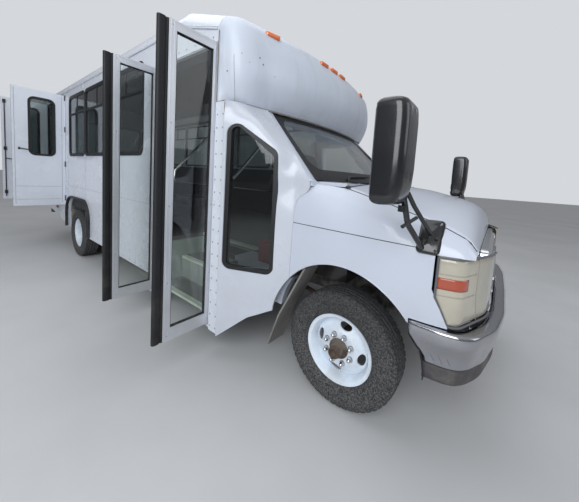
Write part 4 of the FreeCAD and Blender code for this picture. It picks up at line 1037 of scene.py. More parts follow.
@dataclass
class LiftDoors:
    """Gaskets, handle, bolts and hinges of the two lift leaves.

    Attributes:
        hinge_y: Side place of the hinge lines.
        stations: Stations of the front and rear hinge line.
        face_out: Distance of a leaf's near face from its hinge line.
        thickness: Thickness of a leaf.
        glass_y: Nearest and furthest edge of the window from the hinge line.
        glass_z: Lower and upper edge of the window.
    """

    hinge_y: float = -1226.0
    stations: Flat = (-5156.0, -6436.0)
    face_out: float = 7.0
    thickness: float = 40.0
    glass_y: Flat = (135.0, 440.0)
    glass_z: Flat = (1572.0, 2462.0)

    def outline(self, x: float, grow: float) -> list[Point]:
        """Gives the window's outline at station x, grown all round."""
        near, far = self.glass_y
        return panel((self.hinge_y - far, self.glass_z[0]), (self.hinge_y - near, self.glass_z[1]),
                     max(70 + grow, 20), x, 0, grow)

    def leaf(self, word: str, hinge_x: float, way: int) -> None:
        """Dresses one leaf.

        Args:
            word: front or rear.
            hinge_x: Station of the hinge line.
            way: Side of the hinge line that the leaf stands on.
        """
        body = f"lift_door_{word}"
        x0, x1 = sorted((hinge_x + way * self.face_out, hinge_x + way * (self.face_out + self.thickness)))
        gasket, metal, lining = Form(), Form(), Form()
        for face in (x0 - 4, x1 + 0.2):
            gasket.ring(self.outline(face, 16), self.outline(face, -18), (3.8, 0, 0))
        gasket.ring(self.outline(x0, -0.5), self.outline(x0, -18), (self.thickness, 0, 0))
        gasket.piece(f"lift_gasket_{word}", black_rubber, body, bevel=1.5)
        inside = x1 if way < 0 else x0
        near, far = sorted((inside, inside - way * 1.5))
        for z in (850, 1060):
            lining.box((near, self.hinge_y - 600, z), (far, self.hinge_y - 50, z + 3))
        near, far = sorted((inside, inside - way * 1.6))
        for y in (self.hinge_y - 610, self.hinge_y - 40):
            lining.box((near, y, 780), (far, y + 3, 2560))
        lining.piece(f"lift_seams_{word}", seam_grey, body)
        for z in (820.0, 1400.0, 1980.0, 2500.0):
            metal.lathe([(7.5, z), (7.5, z + 90)], (hinge_x, self.hinge_y, 0), steps=20, axis=2, ends=True)
        if word == "front":
            y = self.hinge_y - 560
            metal.box((x1, y - 12, 1632), (x1 + 4, y + 12, 1668))
            metal.tube([(x1, y, 1650), (x1 + 34, y, 1650), (x1 + 34, y + 105, 1640)], 8, bend=14)
        else:
            y = self.hinge_y - 598
            metal.tube([(x1 + 12, y, 800), (x1 + 12, y, 2540)], 7)
            for z in (850, 1640, 2480):
                metal.box((x1, y - 20, z), (x1 + 18, y + 20, z + 60))
            metal.tube([(x1 + 12, y, 1500), (x1 + 40, y + 18, 1480), (x1 + 40, y + 118, 1480)], 8, bend=12)
        metal.piece(f"lift_latch_{word}", dark_plastic if word == "rear" else black_paint, body, bevel=1.2,
                    slot="dark_plastic")

    def surround(self) -> None:
        """Makes the weather seal and sill plate of the lift doorway."""
        seal, sill = Form(), Form()
        front, rear = self.stations
        outer, inner = (standing(rectangle((rear, 744), (front, 2590), grow), -1217) for grow in (-0.5, -3))
        seal.ring(outer, inner, (0, 34, 0))
        seal.piece("lift_seal", black_rubber)
        sill.box((rear + 16, -1216, DECK), (front - 16, -1130, DECK + 3))
        sill.piece("lift_sill", stainless)

    def build(self) -> None:
        """Dresses both leaves and the doorway."""
        for word, x, way in zip(("front", "rear"), self.stations, (-1, 1)):
            self.leaf(word, x, way)
        self.surround()


def soften(path: Sequence[Sequence[float]], reach: float, count: int) -> list[Vector]:
    """Rounds the corners of a path and spaces its points evenly.

    Args:
        path: Points of the path.
        reach: Length on both sides over which a point is evened out.
        count: Number of points returned.

    Returns:
        The evened points, from end to end.
    """
    line = [Vector(p) for p in path]
    gaps = [(b - a).length for a, b in zip(line, line[1:])]
    total = sum(gaps)

    def spot(place: float) -> Vector:
        """Finds the point at a length along the path."""
        for a, b, gap in zip(line, line[1:], gaps):
            if place <= gap:
                return a.lerp(b, place / gap) if gap else a
            place -= gap
        return line[-1]

    made = []
    for step in range(count):
        place = total * step / (count - 1)
        room = min(reach, place, total - place)
        made.append(sum((spot(place + room * k / 4) for k in range(-4, 5)), Vector((0, 0, 0))) / 9)
    return made


def between(rows: Sequence[Sequence[float]], value: float) -> list[float]:
    """Reads a table at a value of its first column."""
    for low, high in zip(rows, rows[1:]):
        if value <= high[0]:
            break
    share = (value - low[0]) / (high[0] - low[0])
    return [a + share * (b - a) for a, b in zip(low, high)]


def spread(low: float, high: float, count: int) -> list[float]:
    """Gives evenly spaced values from low to high."""
    return [low + (high - low) * i / (count - 1) for i in range(count)]


# Centre and radius of the front wheel's space, seen from the side.
WELL: Flat = (-5.0, 425.0)
WELL_RADIUS = 495.0
# Side place clear of the right-hand skins, and the way through them.
BESIDE = -1500.0
INWARD: Point = (0.0, 800.0, 0.0)


def well_cutters() -> list[Form]:
    """Makes the forms that cut the front wheel's space out of a right-hand skin."""
    slant, barrel = Form(), Form()
    slant.prism(standing([(-286, 831), (-486, 430), (-590, 120), (0, 120), (0, 831)], BESIDE), INWARD)
    barrel.lathe([(WELL_RADIUS, 0), (WELL_RADIUS, INWARD[1])], (WELL[0], BESIDE, WELL[1]), steps=96,
                 ends=True)
    return [slant, barrel]


@dataclass
class FrontCap:
    """Moulded cap over the cab.

    Attributes:
        rows: Height, nose, half width, start of the rounded corner and sweep of the face.
        rear: Station of the joint with the body.
        half: Half width at that joint.
        skin: Thickness of the mould.
        slope_start: Station where the roof starts to slope down.
        roof_top: Height of the roof there.
        roof_drop: Fall of the roof from there to the joint.
        crown: Rise of the roof from its shoulders to the middle.
    """

    rows: tuple[tuple[float, ...], ...] = (
        (1965, -748, 1112, -922, 90), (2040, -684, 1165, -920, 115), (2190, -622, 1200, -912, 135),
        (2350, -640, 1210, -906, 130), (2460, -685, 1210, -906, 115), (2560, -748, 1202, -925, 90),
        (2640, -815, 1185, -960, 60), (2720, -900, 1165, -985, 30))
    rear: float = -1000.0
    half: float = 1219.0
    skin: float = 20.0
    slope_start: float = -1500.0
    roof_top: float = 2876.0
    roof_drop: float = 191.0
    crown: float = 58.0

    def roof(self, x: float, y: float) -> float:
        """Gives the height of the sloping roof over a place."""
        share = (x - self.slope_start) / (self.rear - self.slope_start)
        radius = 190 - 40 * min(share, 1.0)
        top = self.roof_top - self.roof_drop * share
        angle = math.pi / 2 - 2 * math.atan(self.crown / (self.half - radius))
        centre = top - self.crown - radius * math.sin(angle)
        out = min(abs(y), self.half)
        edge = self.half - radius + radius * math.cos(angle)
        if out > edge:
            return centre + math.sqrt(max(radius ** 2 - (out - self.half + radius) ** 2, 0.0))
        return top - (top - centre - radius * math.sin(angle)) * (out / edge) ** 2

    def plan(self, z: float) -> list[Vector]:
        """Gives the right half of the outline at height z, from the joint to the nose."""
        _, nose, half, corner, sweep = between(self.rows, z)
        near = Vector((nose - sweep, -0.78 * half, z))
        line = [(self.rear, -self.half, z), (corner, -half, z)]
        for step in range(1, 9):
            turn = math.radians(90 * step / 8)
            line.append((corner + (near.x - corner) * math.sin(turn),
                         -half + (near.y + half) * (1 - math.cos(turn)), z))
        line += [(nose - sweep * (1 - k / 8) ** 2, near.y * (1 - k / 8), z) for k in range(1, 9)]
        return soften(line, 60, 49)

    def columns(self) -> list[list[Vector]]:
        """Gives columns that climb the face, round the brow and run back over the roof."""
        levels = [self.plan(z) for z in spread(1965, 2715, 38)]
        made = []
        for index in range(len(levels[0])):
            column: list[Vector] = []
            for level in levels:
                point = level[index]
                if column and point.z > self.roof(point.x, point.y):
                    break
                column.append(point)
            start = column[-1]
            end = max(start.y * self.half / 1203, -self.half)
            for step in range(13):
                x, y = start.x + (self.rear - start.x) * step / 12, start.y + (end - start.y) * step / 12
                column.append(Vector((x, y, self.roof(x, y))))
            made.append(soften(column, 70, 50))
        return made

    def build(self) -> None:
        """Makes the mould, a grey line painted as the shade of its crease, its joints, dirt specks and marker
        lamps.
        """
        form, crease_shade_mark, foot, specks = Form(), Form(), Form(), Form()
        right = self.columns()
        form.grid(both_halves(right))
        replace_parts(form.piece("moulded_cap", cap_white, thick=self.skin, sharp=60, weld=True), "front_cap")
        # Grey line down the cap's corner: painted shade of its crease.
        crease_shade_mark.tube(moved(right[5][1:24], 0.5, -0.6), 1.3, sides=6)
        crease_shade_mark.mirror().piece("cap_crease_shade", seam_grey)
        for z, width in ((1966.5, 2.6), (1975.0, 1.2)):
            foot.tube(moved(self.plan(z)[2:], 0.6, -0.8), width, sides=6)
        foot.mirror().piece("cap_foot_joint", sealant_brown)
        for x, z, size in ((-905, 2179, 5), (-820, 2300, 4), (-775, 2305, 6), (-768, 2266, 7),
                           (-790, 2250, 3), (-740, 2210, 3)):
            place = min(self.plan(z), key=lambda p: abs(p.x - x) + (0 if p.y < -700 else 500))
            specks.heads([place], (0.3, -1, 0), size, 1.2, sides=7)
        specks.piece("cap_specks", door_rubber)
        self.markers()

    def markers(self) -> None:
        """Makes the five amber clearance lamps on the brow."""
        form = Form()
        for y in (-850.0, -185.0, 0.0, 185.0, 850.0):
            near = min(self.plan(2540), key=lambda p: abs(p.y + abs(y)))
            lean = -0.28 * y / 850
            rows = []
            for grow, out in ((0, -14), (0, 8), (-5, 15), (-13, 19)):
                rows.append([(near.x + out + lean * (py - y), py, pz) for py, pz in soft_outline(
                    rectangle((y - 62, 2520), (y + 62, 2562), grow), 14 + grow)])
            form.grid(rows, wrap=True)
            form.close(rows[-1])
        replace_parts(form.piece("marker_lamps", amber_lens), "clearance_lamps")


@dataclass
class CabSide:
    """Right filler panel, smooth with the pillar, and its black-framed window.

    Attributes:
        rows: Height, knee station, knee inset, station and side place of the front edge,
            and station and side place of the pillar's front corner.
        half: Half width of the body.
        rear: Station of the rear edge.
    """

    rows: tuple[tuple[float, ...], ...] = (
        (190, -600, 127, -402, -1007, -400, -1007), (1330, -600, 127, -402, -1005, -400, -1004),
        (1424, -560, 143, -416, -986, -280, -969), (1600, -492, 173, -460, -955, -456, -931),
        (1830, -700, 99, -690, -905, -690, -879), (1965, -868, 107, -846, -900, -829, -849))
    half: float = 1219.0
    rear: float = -899.0

    def build(self) -> None:
        """Makes the panel, its window frame, and grey lines along its seams and its crease, where the grey is
        painted shade.
        """
        form, frame_form, seams, fender = Form(), Form(), Form(), FrontEnd()
        levels = []
        for z in spread(190, 1965, 72):
            _, knee_x, inset, front_x, front_y, end_x, end_y = between(self.rows, z)
            if z < 1424:
                end_x = -386 + 100 * max(0.0, min(1.0, (z - 1300) / 60))
                end_y = min(fender.side_at(end_x, z) + 4, -959)
                front_y = max(front_y, min(fender.side_at(-396, z) + 3, -968))
            levels.append(soften([(self.rear, -self.half, z), (knee_x, -self.half + inset, z),
                                  (front_x, front_y, z), (end_x, end_y, z)], 26, 48))
        columns = [soften([level[i] for level in levels], 45, 72) for i in range(48)]
        form.grid(columns)
        panel = form.piece("cab_side_panel", panel_white, thick=9.0, sharp=50)
        under, hole = Form(), Form()
        under.prism(standing([(-950, 150), (-887, 194), (-663, 391), (-508, 471), (-380, 520), (-380, 100),
                              (-950, 100)], BESIDE), INWARD)
        hole.prism(self.window(0), INWARD)
        for cutter in (under, hole, *well_cutters()):
            carve(panel, cutter.piece("side_cutter", moulded_white))
        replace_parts(panel, "filler_panel")
        for grows, out, depth in (((-2.0, -24.0), -1.0, 5.0), ((0.5, -30.0), 4.0, 34.0)):
            outer, inner = ([(x, self.surface(columns, x, z) - out, z) for x, _, z in self.window(grow)]
                            for grow in grows)
            frame_form.ring(outer, inner, (0, depth, 0))
        frame_form.piece("filler_window_frame", frame_black, bevel=1.5)
        # Grey lines along the panel's seams and crease; along the crease the grey is painted shade.
        for points in (
                [(x, 745 + 0.11 * (x + 880)) for x in spread(-894, -470, 16)],
                [(-460, z) for z in spread(600, 1330, 16)], [(x, 1332) for x in spread(-480, -404, 6)]):
            seams.tube([(x, self.surface(columns, x, z) - 0.3, z) for x, z in points], 1.5, sides=6)
        seams.piece("side_panel_creases", seam_grey)

    def window(self, grow: float) -> list[Point]:
        """Gives the window's outline, grown all round."""
        g = grow
        corners = [(-872 - g, 735 - g), (-872 - g, 1866 + 1.4 * g), (-506 + g, 1612 + g), (-498 + g, 735 - g)]
        return standing(soft_outline(corners, [60 + g, 70 + g, 75 + g, 60 + g], 9), BESIDE)

    @staticmethod
    def surface(columns: Sequence[Sequence[Vector]], x: float, z: float) -> float:
        """Finds the side place of the skin at a station and height."""
        level = []
        for column in columns:
            for low, high in zip(column, column[1:]):
                if high.z >= z or high is column[-1]:
                    share = (z - low.z) / (high.z - low.z)
                    level.append((low.x + share * (high.x - low.x), low.y + share * (high.y - low.y)))
                    break
        return between(level, x)[1]


@dataclass
class FrontEnd:
    """Hood, fenders, wheel-arch liners and their seams.

    Attributes:
        hood_rows: Station, height at the middle and at the edge of the hood.
        fender_rows: Station, height at the hood's line and half width of the fender.
        half: Half width of the hood.
        fold: Height where a fender's flank starts to turn in.
        rear_middle: Side place and height of the middle of that turn at the rear.
    """

    hood_rows: tuple[Point, ...] = (
        (-62, 1440, 1398), (240, 1410, 1313), (470, 1358, 1243), (570, 1324, 1205), (625, 1272, 1170),
        (652, 1205, 1134))
    fender_rows: tuple[Point, ...] = (
        (-396, 1424, 1006), (-60, 1390, 1008), (240, 1310, 1006), (480, 1238, 995), (610, 1180, 975),
        (650, 1128, 962))
    half: float = 868.0
    fold: float = 1090.0
    rear_middle: Flat = (-962.0, 1352.0)

    def hood(self) -> None:
        """Makes the hood with its rounded nose."""
        form = Form()
        columns = []
        for share in spread(-1, 1, 45):
            path = [(x, self.half * share, edge + (crown - edge) * (1 - share ** 2))
                    for x, crown, edge in self.hood_rows]
            columns.append(soften(path + [(652, self.half * share, 1109)], 55, 44))
        form.grid(columns)
        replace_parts(form.piece("hood_skin", white_paint, "hood", thick=14.0, sharp=50), "hood")

    def flank(self, x: float) -> list[Vector]:
        """Gives the fender's section at station x, from its foot to the hood's line."""
        _, top, width = between(self.fender_rows, x)
        side, crest, fold = -width + 6, -self.half - 6, self.fold
        full = max(0.0, min(1.0, (-60 - x) / 220))
        middle_y, middle_z = side + 0.35 * (crest - side), fold + 0.62 * (top - fold)
        middle_y += full * (self.rear_middle[0] - middle_y)
        middle_z += full * (self.rear_middle[1] - middle_z)
        bend_y, bend_z = 2 * middle_y - (side + crest) / 2, 2 * middle_z - (fold + top) / 2
        line = [(x, -width + 24, 486), (x, -width, 820), (x, side, fold)]
        for k in range(1, 9):
            a, b, c = (1 - k / 8) ** 2, 2 * (1 - k / 8) * k / 8, (k / 8) ** 2
            line.append((x, a * side + b * bend_y + c * crest, a * fold + b * bend_z + c * top))
        return soften(line, 45, 36)

    def side_at(self, x: float, z: float) -> float:
        """Finds the fender's side place at a station and height."""
        section = self.flank(x)
        for low, high in zip(section, section[1:]):
            if high.z >= z:
                return low.y + (high.y - low.y) * (z - low.z) / (high.z - low.z)
        return section[-1].y

    def fenders(self, side: Side) -> None:
        """Makes one fender with its liner, a black board painted as shade inside the wheel space, and its lip."""
        form, liner, lip = Form(), Form(), Form()
        sections = [self.flank(x) for x in spread(-396, 650, 44)]
        form.grid([[*section, section[-1] + Vector((0, 3, -60))] for section in sections])
        skin = form.piece("fender_skin", white_paint, side=side, thick=7.0, sharp=50)
        lamp, foot = Form(), Form()
        lamp.prism(standing([(488, 1102), (488, 928), (571, 752), (571, 480), (760, 480), (760, 1102)],
                            BESIDE), (0, 900, 0))
        foot.box((396, BESIDE, 400), (800, BESIDE + INWARD[1], 747))
        for cutter in (lamp, foot, *well_cutters()):
            carve(skin, cutter.piece("fender_cutter", white_paint, side=side))
        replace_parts(skin, *(("fenders",) if side is Side.RIGHT else ()))
        ring = [(x, z) for x, z in arc(WELL, WELL_RADIUS + 1, -2, 4, 37) if z > 440]
        liner.grid([standing(ring, y) for y in (-985, -760)])
        liner.grid([standing(ring, -760), [(x, -760, 1150) for x, _ in ring]])
        liner.grid([[(-300, y, 848), (-498, y, 430), (-510, y, 400)] for y in (-955, -806)])
        # Flat black board over the cab's white side board above the wheel: a dark sheet painted as the shade
        # there.
        liner.grid([[(-396, -691.5, z), (-123, -691.5, z)] for z in (862, 1398)])
        for front, y0, y1 in ((-512, -931, -560), (-124, -560, 0)):
            liner.grid([[(x, y, 699) for x in (-1440, front)] for y in (y0, y1)])
        liner.piece("arch_liner", black_rubber, side=side, thick=3.0)
        lip.tube([(x, self.side_at(x, z) + 2, z) for x, z in arc(WELL, WELL_RADIUS + 2, 4, 3.3, 44)
                  if -380 < x < 396 and z > 500], 4.5, sides=10)
        lip.piece("arch_lip", white_paint, side=side)

    def flaps(self) -> None:
        """Makes the mud flaps behind the wheels."""
        form = Form()
        form.prism(standing([(-282, 836), (-485, 430), (-577, 160), (-565, 157), (-472, 428), (-269, 830)],
                            -984), (0, 190, 0))
        form.box((-5030, -1174, 150), (-5019, -790, 690))
        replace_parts(form.mirror().piece("mud_flap_sheets", flap_rubber, bevel=2.0), "mud_flaps")

    def seams(self) -> None:
        """Lays a dark line painted as the shade of the body crease, the cowl joint and the hood's side gap."""
        form = Form()
        # Near-black line along the fender's crease: painted shade of the crease.
        crease = [(-392 + 38 * i, 1135 - 0.6 * i) for i in range(22)]
        form.tube([(x, self.side_at(x, z) - 0.4, z) for x, z in crease], 2.2, sides=6)
        form.tube([(x, -self.half - 3, between(self.fender_rows, x)[1] + 0.5) for x in spread(-55, 646, 26)],
                  3.4, sides=6)
        form.tube([(-66, self.half * s, 1440 - 42 * s * s) for s in spread(-1, 0, 16)], 3, sides=6)
        form.mirror().piece("front_seams", door_rubber)

    def build(self) -> None:
        """Makes the hood, both fenders and the seams."""
        self.hood()
        for side in Side:
            self.fenders(side)
        self.flaps()
        self.seams()


@dataclass
class Lights:
    """Headlamps with bezels, reflectors, inner cells and side reflectors.

    Attributes:
        plan: Outline of the lens seen from above, from the side to the grille.
        low: Height of the lower edge.
        high: Height of the upper edge.
    """

    plan: tuple[Flat, ...] = ((507, -986), (610, -960), (660, -830), (708, -700), (721, -607))
    low: float = 755.0
    high: float = 1099.0

    def start(self, z: float) -> float:
        """Gives the station of the lens's rear edge at a height."""
        return max(507.0, 573 - (z - self.low) * 83 / 176)

    def level(self, z: float) -> list[Vector]:
        """Gives the lens's outline at height z."""
        start = self.start(z)
        line = [p for p in self.plan if p[0] > start + 8]
        first = (start, -986 + max(0.0, start - 507) * 0.25)
        return soften([(x, y, z) for x, y in [first, *line]], 34, 30)

    def lamp(self, side: Side) -> None:
        """Makes one headlamp."""
        lens, bezel, cells, orange, inner = Form(), Form(), Form(), Form(), Form()
        levels = [self.level(z) for z in spread(self.low + 4, self.high - 3, 26)]
        rounded = []
        for index, level in enumerate(levels):
            draw = 10 * max(0.0, 1 - min(index, 25 - index) / 2.0) ** 2
            rounded.append(moved(level, -draw, 0.4 * draw))
        lens.grid(rounded)
        shell = lens.piece("headlamp_lens", lens_plastic, side=side, thick=5.0, sharp=50)
        if side is Side.RIGHT:
            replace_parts(shell, "headlamps")
        rear = moved([level[0] for level in levels], -3, -1)
        top, foot = moved(levels[-1], 1, -1, 2), moved(levels[0], 1, -1, -2)
        bezel.tube([*reversed(top[1:]), top[0], *reversed(rear), *foot[1:]], 6.0, sides=8)
        bezel.grid([moved(rear, -2, 12), moved(rear, 0, 190)])
        bezel.piece("headlamp_bezel", bezel_grey, side=side)
        for band in ((905.0, 911.0), (1012.0, 1018.0)):
            cells.grid([moved(self.level(z)[:15], 0.8, -0.8) for z in band])
        upright = moved([self.level(z)[15] for z in spread(self.low + 10, self.high - 8, 12)], 0.8, -0.8)
        cells.grid([upright, moved(upright, 3, 5)])
        cells.piece("lens_ribs", cell_grey, side=side, thick=1.0)
        orange.grid([moved(self.level(z)[:11], 1.0, -1.2) for z in spread(938, 996, 6)])
        orange.piece("side_reflector", reflector_orange, side=side, thick=1.5)
        inner.lathe([(10, 0), (55, 26), (82, 70), (90, 96)], (540, -742, 935), steps=36, axis=0)
        inner.piece("lamp_reflector", chrome, side=side)

    def build(self) -> None:
        """Makes both headlamps."""
        for side in Side:
            self.lamp(side)


@dataclass
class FrontTrim:
    """Grille, bumper and valance.

    Attributes:
        top: Upper outline of the bumper's right half, outer side, from the end to the middle.
        foot: Lower outline of the same.
        valance: Outline of the dark valance's right half.
    """

    top: tuple[Flat, ...] = ((403, -1011), (586, -1020), (687, -977), (770, -760), (800, -500), (806, 0))
    foot: tuple[Flat, ...] = ((476, -968), (600, -958), (660, -915), (730, -760), (775, -500), (786, 0))
    valance: tuple[Flat, ...] = ((480, -962), (600, -950), (655, -905), (722, -758), (767, -500), (778, 0))

    def curve(self, points: Sequence[Flat], z: float, inset: float = 0.0) -> list[Vector]:
        """Gives an evenly spaced half outline at height z, set in by inset."""
        line = soften([(x, y, z) for x, y in points], 50, 64)
        made = []
        for before, spot, after in zip([line[0], *line], line, [*line[1:], line[-1]]):
            ahead = after - before
            made.append(spot + Vector((-ahead.y, ahead.x, 0)).normalized() * inset)
        made[-1].y = 0.0
        return made

    def bumper(self) -> None:
        """Makes the chrome bumper with its broad top face and crease, grey lines of painted shade in its recesses
        and a strip of painted highlight on its top edge.
        """
        form, marks, brace, top_highlight = Form(), Form(), Form(), Form()
        outlines = [self.curve(self.top, z, inset) for z, inset in (
            (734, 72), (741.5, 60), (741.5, 6), (722, 1), (690, 3), (668, 9))]
        outlines += [self.curve(self.foot, z, inset) for z, inset in ((560, -1), (531, 4), (531, 26))]
        form.grid(both_halves([soften(column, 11, 34) for column in zip(*outlines)]))
        made = form.piece("chrome_bumper", bumper_chrome, thick=4.0, sharp=60)
        brace.box((641, -432, 560), (752, -372, 680))
        brace.mirror().piece("bumper_braces", black_paint)
        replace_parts(made, "front_bumper")
        # Grey lines down the bumper's face: painted shade of its recesses.
        high, low = self.curve(self.top, 705, 2.5), self.curve(self.foot, 556, -0.5)
        for index in (3, 5, 7):
            marks.tube([high[index], high[index].lerp(low[index], 0.5), low[index]], 1.5, sides=6)
        marks.mirror().piece("bumper_recess_lines", seam_grey)
        # Thin strip of brighter chrome along the top face's front edge: a painted highlight line.
        top_highlight.grid([self.curve(self.top, 743.2, inset) for inset in (0.1, 1.4)])
        top_highlight.mirror().piece("bumper_edge", chrome)

    def skirt(self) -> None:
        """Makes the dark valance below the bumper."""
        form = Form()
        outlines = [self.curve(self.valance, z, inset) for z, inset in (
            (529, 20), (529, 3), (470, 0.5), (442, 8), (441, 26))]
        form.grid(both_halves([soften(column, 8, 18) for column in zip(*outlines)]))
        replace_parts(form.piece("moulded_valance", valance_grey, thick=3.0, sharp=60), "bumper_valance")

    def grille(self) -> None:
        """Makes the chrome surround, the bars and the dark slats behind them."""
        rim, bars, slats = Form(), Form(), Form()
        loops = []
        for grow, x in ((0, 652), (0, 700), (-8, 722), (-24, 728), (-38, 716), (-42, 690)):
            outline = soft_outline(rectangle((-600, 762), (600, 1098), grow), 44 + grow * 0.5)
            loops.append([(min(x, self.lean(z)), y, z) for y, z in outline])
        rim.grid(loops, wrap=True)
        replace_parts(rim.piece("grille_surround", chrome, sharp=50, weld=True), "grille")
        for z in (866.0, 938.0, 1010.0):
            reach = self.lean(z) - 6
            section = [(reach - 34, z - 9), (reach - 8, z - 11), (reach, z - 4), (reach, z + 5),
                       (reach - 8, z + 11), (reach - 34, z + 9)]
            bars.prism(standing(section, -560), (0, 1120, 0))
        bars.piece("grille_bars", chrome, bevel=2.0)
        for i in range(33):
            y = -544 + 34 * i
            slats.box((666, y - 3, 800), (684, y + 3, 1062))
        for z in spread(812, 1050, 10):
            slats.box((668, -560, z - 2.5), (680, 560, z + 2.5))
        slats.box((654, -590, 780), (658, 590, 1085))
        for y in (-402, 402):
            slats.box((650, y - 20, 680.5), (662, y + 20, 1080))
        slats.piece("grille_mesh", grille_grey)

    @staticmethod
    def lean(z: float) -> float:
        """Gives the furthest station of the grille at a height."""
        return between(((762, 728), (800, 735), (960, 735), (1014, 716), (1064, 704), (1098, 684)), z)[1]

    def build(self) -> None:
        """Makes the front trim."""
        self.bumper()
        self.skirt()
        self.grille()


@dataclass
class Windscreen:
    """Black surround, rain channels, wipers and cowl plugs of the windshield.

    Attributes:
        foot: Station of the end and the middle, side place and height at the foot.
        head: The same at the head.
    """

    foot: tuple[float, ...] = (-288.0, -165.0, 902.0, 1431.0)
    head: tuple[float, ...] = (-838.0, -765.0, 782.0, 1961.0)

    def spot(self, side: float, z: float, out: float) -> Vector:
        """Gives a point before the glass.

        Args:
            side: Side place as a share of the half width.
            z: Height.
            out: Distance before the glass.

        Returns:
            The point, on the curve of the glass moved forward.
        """
        share = (z - self.foot[3]) / (self.head[3] - self.foot[3])
        end, middle, half = (a + share * (b - a) for a, b in zip(self.foot[:3], self.head[:3]))
        return Vector((middle + (end - middle) * side ** 2 + out, side * half, z + 0.8 * out))

    def surround(self) -> None:
        """Makes the black border and the black rubber channels along the pillars."""
        border, channel = Form(), Form()
        loops = []
        for width, out, radius in ((0, 0.6, 4), (0, 5.0, 4), (10, 5.5, 20), (44, 3.5, 90), (48, 1.2, 92)):
            side = 1.0 - width / 860
            corners = rectangle((-860 * side, 1431 + width * 1.7), (860 * side, 1961 - width * 0.9))
            outline = soft_outline(corners, radius, 8)
            dense = [(a[0] + (b[0] - a[0]) * k / 12, a[1] + (b[1] - a[1]) * k / 12)
                     for a, b in zip(outline, [*outline[1:], outline[0]]) for k in range(12)]
            loops.append([self.spot(y / 860, z, out) for y, z in dense])
        border.grid(loops, wrap=True)
        border.piece("windscreen_border", frame_black, sharp=50)
        channel.tube(moved([self.spot(-1.0, z, 4) for z in spread(1436, 1958, 14)], 6, -7), 5, sides=8)
        channel.mirror().piece("rain_channels", black_rubber)

    def wipers(self) -> None:
        """Makes two wipers parked low on the glass."""
        form = Form()
        for pivot, tip in ((-0.62, 0.02), (0.10, 0.72)):
            start = self.spot(pivot, 1452, 16)
            reach = [self.spot(pivot + (tip - pivot) * k / 8, 1462 + 26 * k / 8, 13) for k in range(9)]
            form.tube([start + Vector((10, 0, -18)), start, *reach[1:6]], 6, sides=8)
            blade = [self.spot(pivot + (tip - pivot) * (0.12 + k / 9), 1466 + 30 * k / 9, 6)
                     for k in range(9)]
            form.tube(moved(blade, -3, 0, -1), 4.5, sides=8)
            form.lathe([(15, -12), (15, 6), (9, 12), (0.5, 13)], tuple(start + Vector((10, 0, -14))),
                       steps=20, axis=2)
        form.piece("wipers", dark_plastic)
        plug = Form()
        plug.heads([(-60, -867, 1403)], (0.1, -0.35, 1), 18, 6, sides=16)
        plug.mirror().piece("cowl_plugs", dark_plastic)

    def build(self) -> None:
        """Makes the trim of the windshield."""
        self.surround()
        self.wipers()


@dataclass
class OutsideMirrors:
    """Both mirrors: ribbed heads on two bent tubes from a bolted foot.

    Attributes:
        low: Nearest corner of the head.
        high: Furthest corner of the head.
    """

    low: Point = (256.0, -1338.0, 1345.0)
    high: Point = (392.0, -1122.0, 1800.0)

    def head(self, form: Form) -> None:
        """Makes the head's rounded shell."""
        rows = []
        for share in (0, 0.006, 0.02, 0.05, 0.1, 0.2, 0.35, 0.5, 0.65, 0.8, 0.9, 0.95, 0.98, 0.994, 1):
            z = self.low[2] + share * (self.high[2] - self.low[2])
            rim = min(z - self.low[2], self.high[2] - z)
            draw = 30 - math.sqrt(max(0.0, 900 - (30 - min(rim, 30.0)) ** 2))
            taper = 24 * max(0.0, 1 - share / 0.3) ** 1.6 + 10 * max(0.0, (share - 0.75) / 0.25) ** 2
            corners = rectangle((self.low[0] + draw, self.low[1] + draw),
                                (self.high[0] - draw - taper, self.high[1] - draw))
            rows.append([(x, y, z) for x, y in soft_outline(corners, [20, 44, 44, 20], 7)])
        form.grid(rows, wrap=True)
        form.close(rows[0], rows[-1])

    def mirror(self, side: Side) -> None:
        """Makes one mirror."""
        shell, ribs, arms, glass, metal = Form(), Form(), Form(), Form(), Form()
        self.head(shell)
        made = shell.piece("mirror_head", mirror_black, side=side, sharp=60)
        if side is Side.RIGHT:
            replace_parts(made, "mirrors")
        for y in (-1276, -1262, -1208, -1194):
            ribs.tube([(389 - 23 * max(0.0, 1 - (z - 1345) / 136) ** 1.6 - 2 * abs(z - 1570) / 200, y, z)
                       for z in spread(1380, 1765, 12)], 3.6, sides=8)
        ribs.piece("mirror_ribs", mirror_black, side=side)
        for z0, z1 in ((1372, 1500), (1520, 1778)):
            glass.prism(panel((-1318, z0), (-1142, z1), 24, 255.5, 0), (-2.5, 0, 0))
        glass.piece("mirror_glass", chrome, side=side)
        arms.tube([(356, -1163, 1400), (360, -1152, 1226), (428, -985, 1118)], 14, 16, bend=45)
        arms.tube([(372, -1142, 1400), (384, -1120, 1316), (452, -955, 1196)], 11, 16, bend=35)
        arms.tube([(362, -1150, 1240), (404, -1070, 1284)], 9, 12)
        arms.lathe([(19, 0), (19, 30)], (357, -1160, 1312), steps=24, axis=2, ends=True)
        arms.piece("mirror_arms", mirror_black, side=side)
        fender, rows = FrontEnd(), []
        for grow, out in ((0, -2), (0, 12), (-5, 18), (-11, 20), (-30, 20), (-50, 20)):
            outline = soft_outline(rectangle((398, 1100), (505, 1262), grow), max(3, 22 + grow), 5)
            rows.append([(x, fender.side_at(x, z) - out, z) for x, z in outline])
        metal.grid(rows, wrap=True)
        metal.close(rows[-1])
        metal.piece("mirror_base", mirror_black, side=side)
        bolts = Form()
        for x, z in ((416, 1122), (486, 1122), (416, 1238), (486, 1238), (482, 1180)):
            bolts.heads([(x, fender.side_at(x, z) - 17, z)], (0, -1, 0.25), 8, 6, sides=6)
        bolts.piece("mirror_bolts", dark_plastic, side=side)

    def build(self) -> None:
        """Makes both mirrors."""
        for side in Side:
            self.mirror(side)


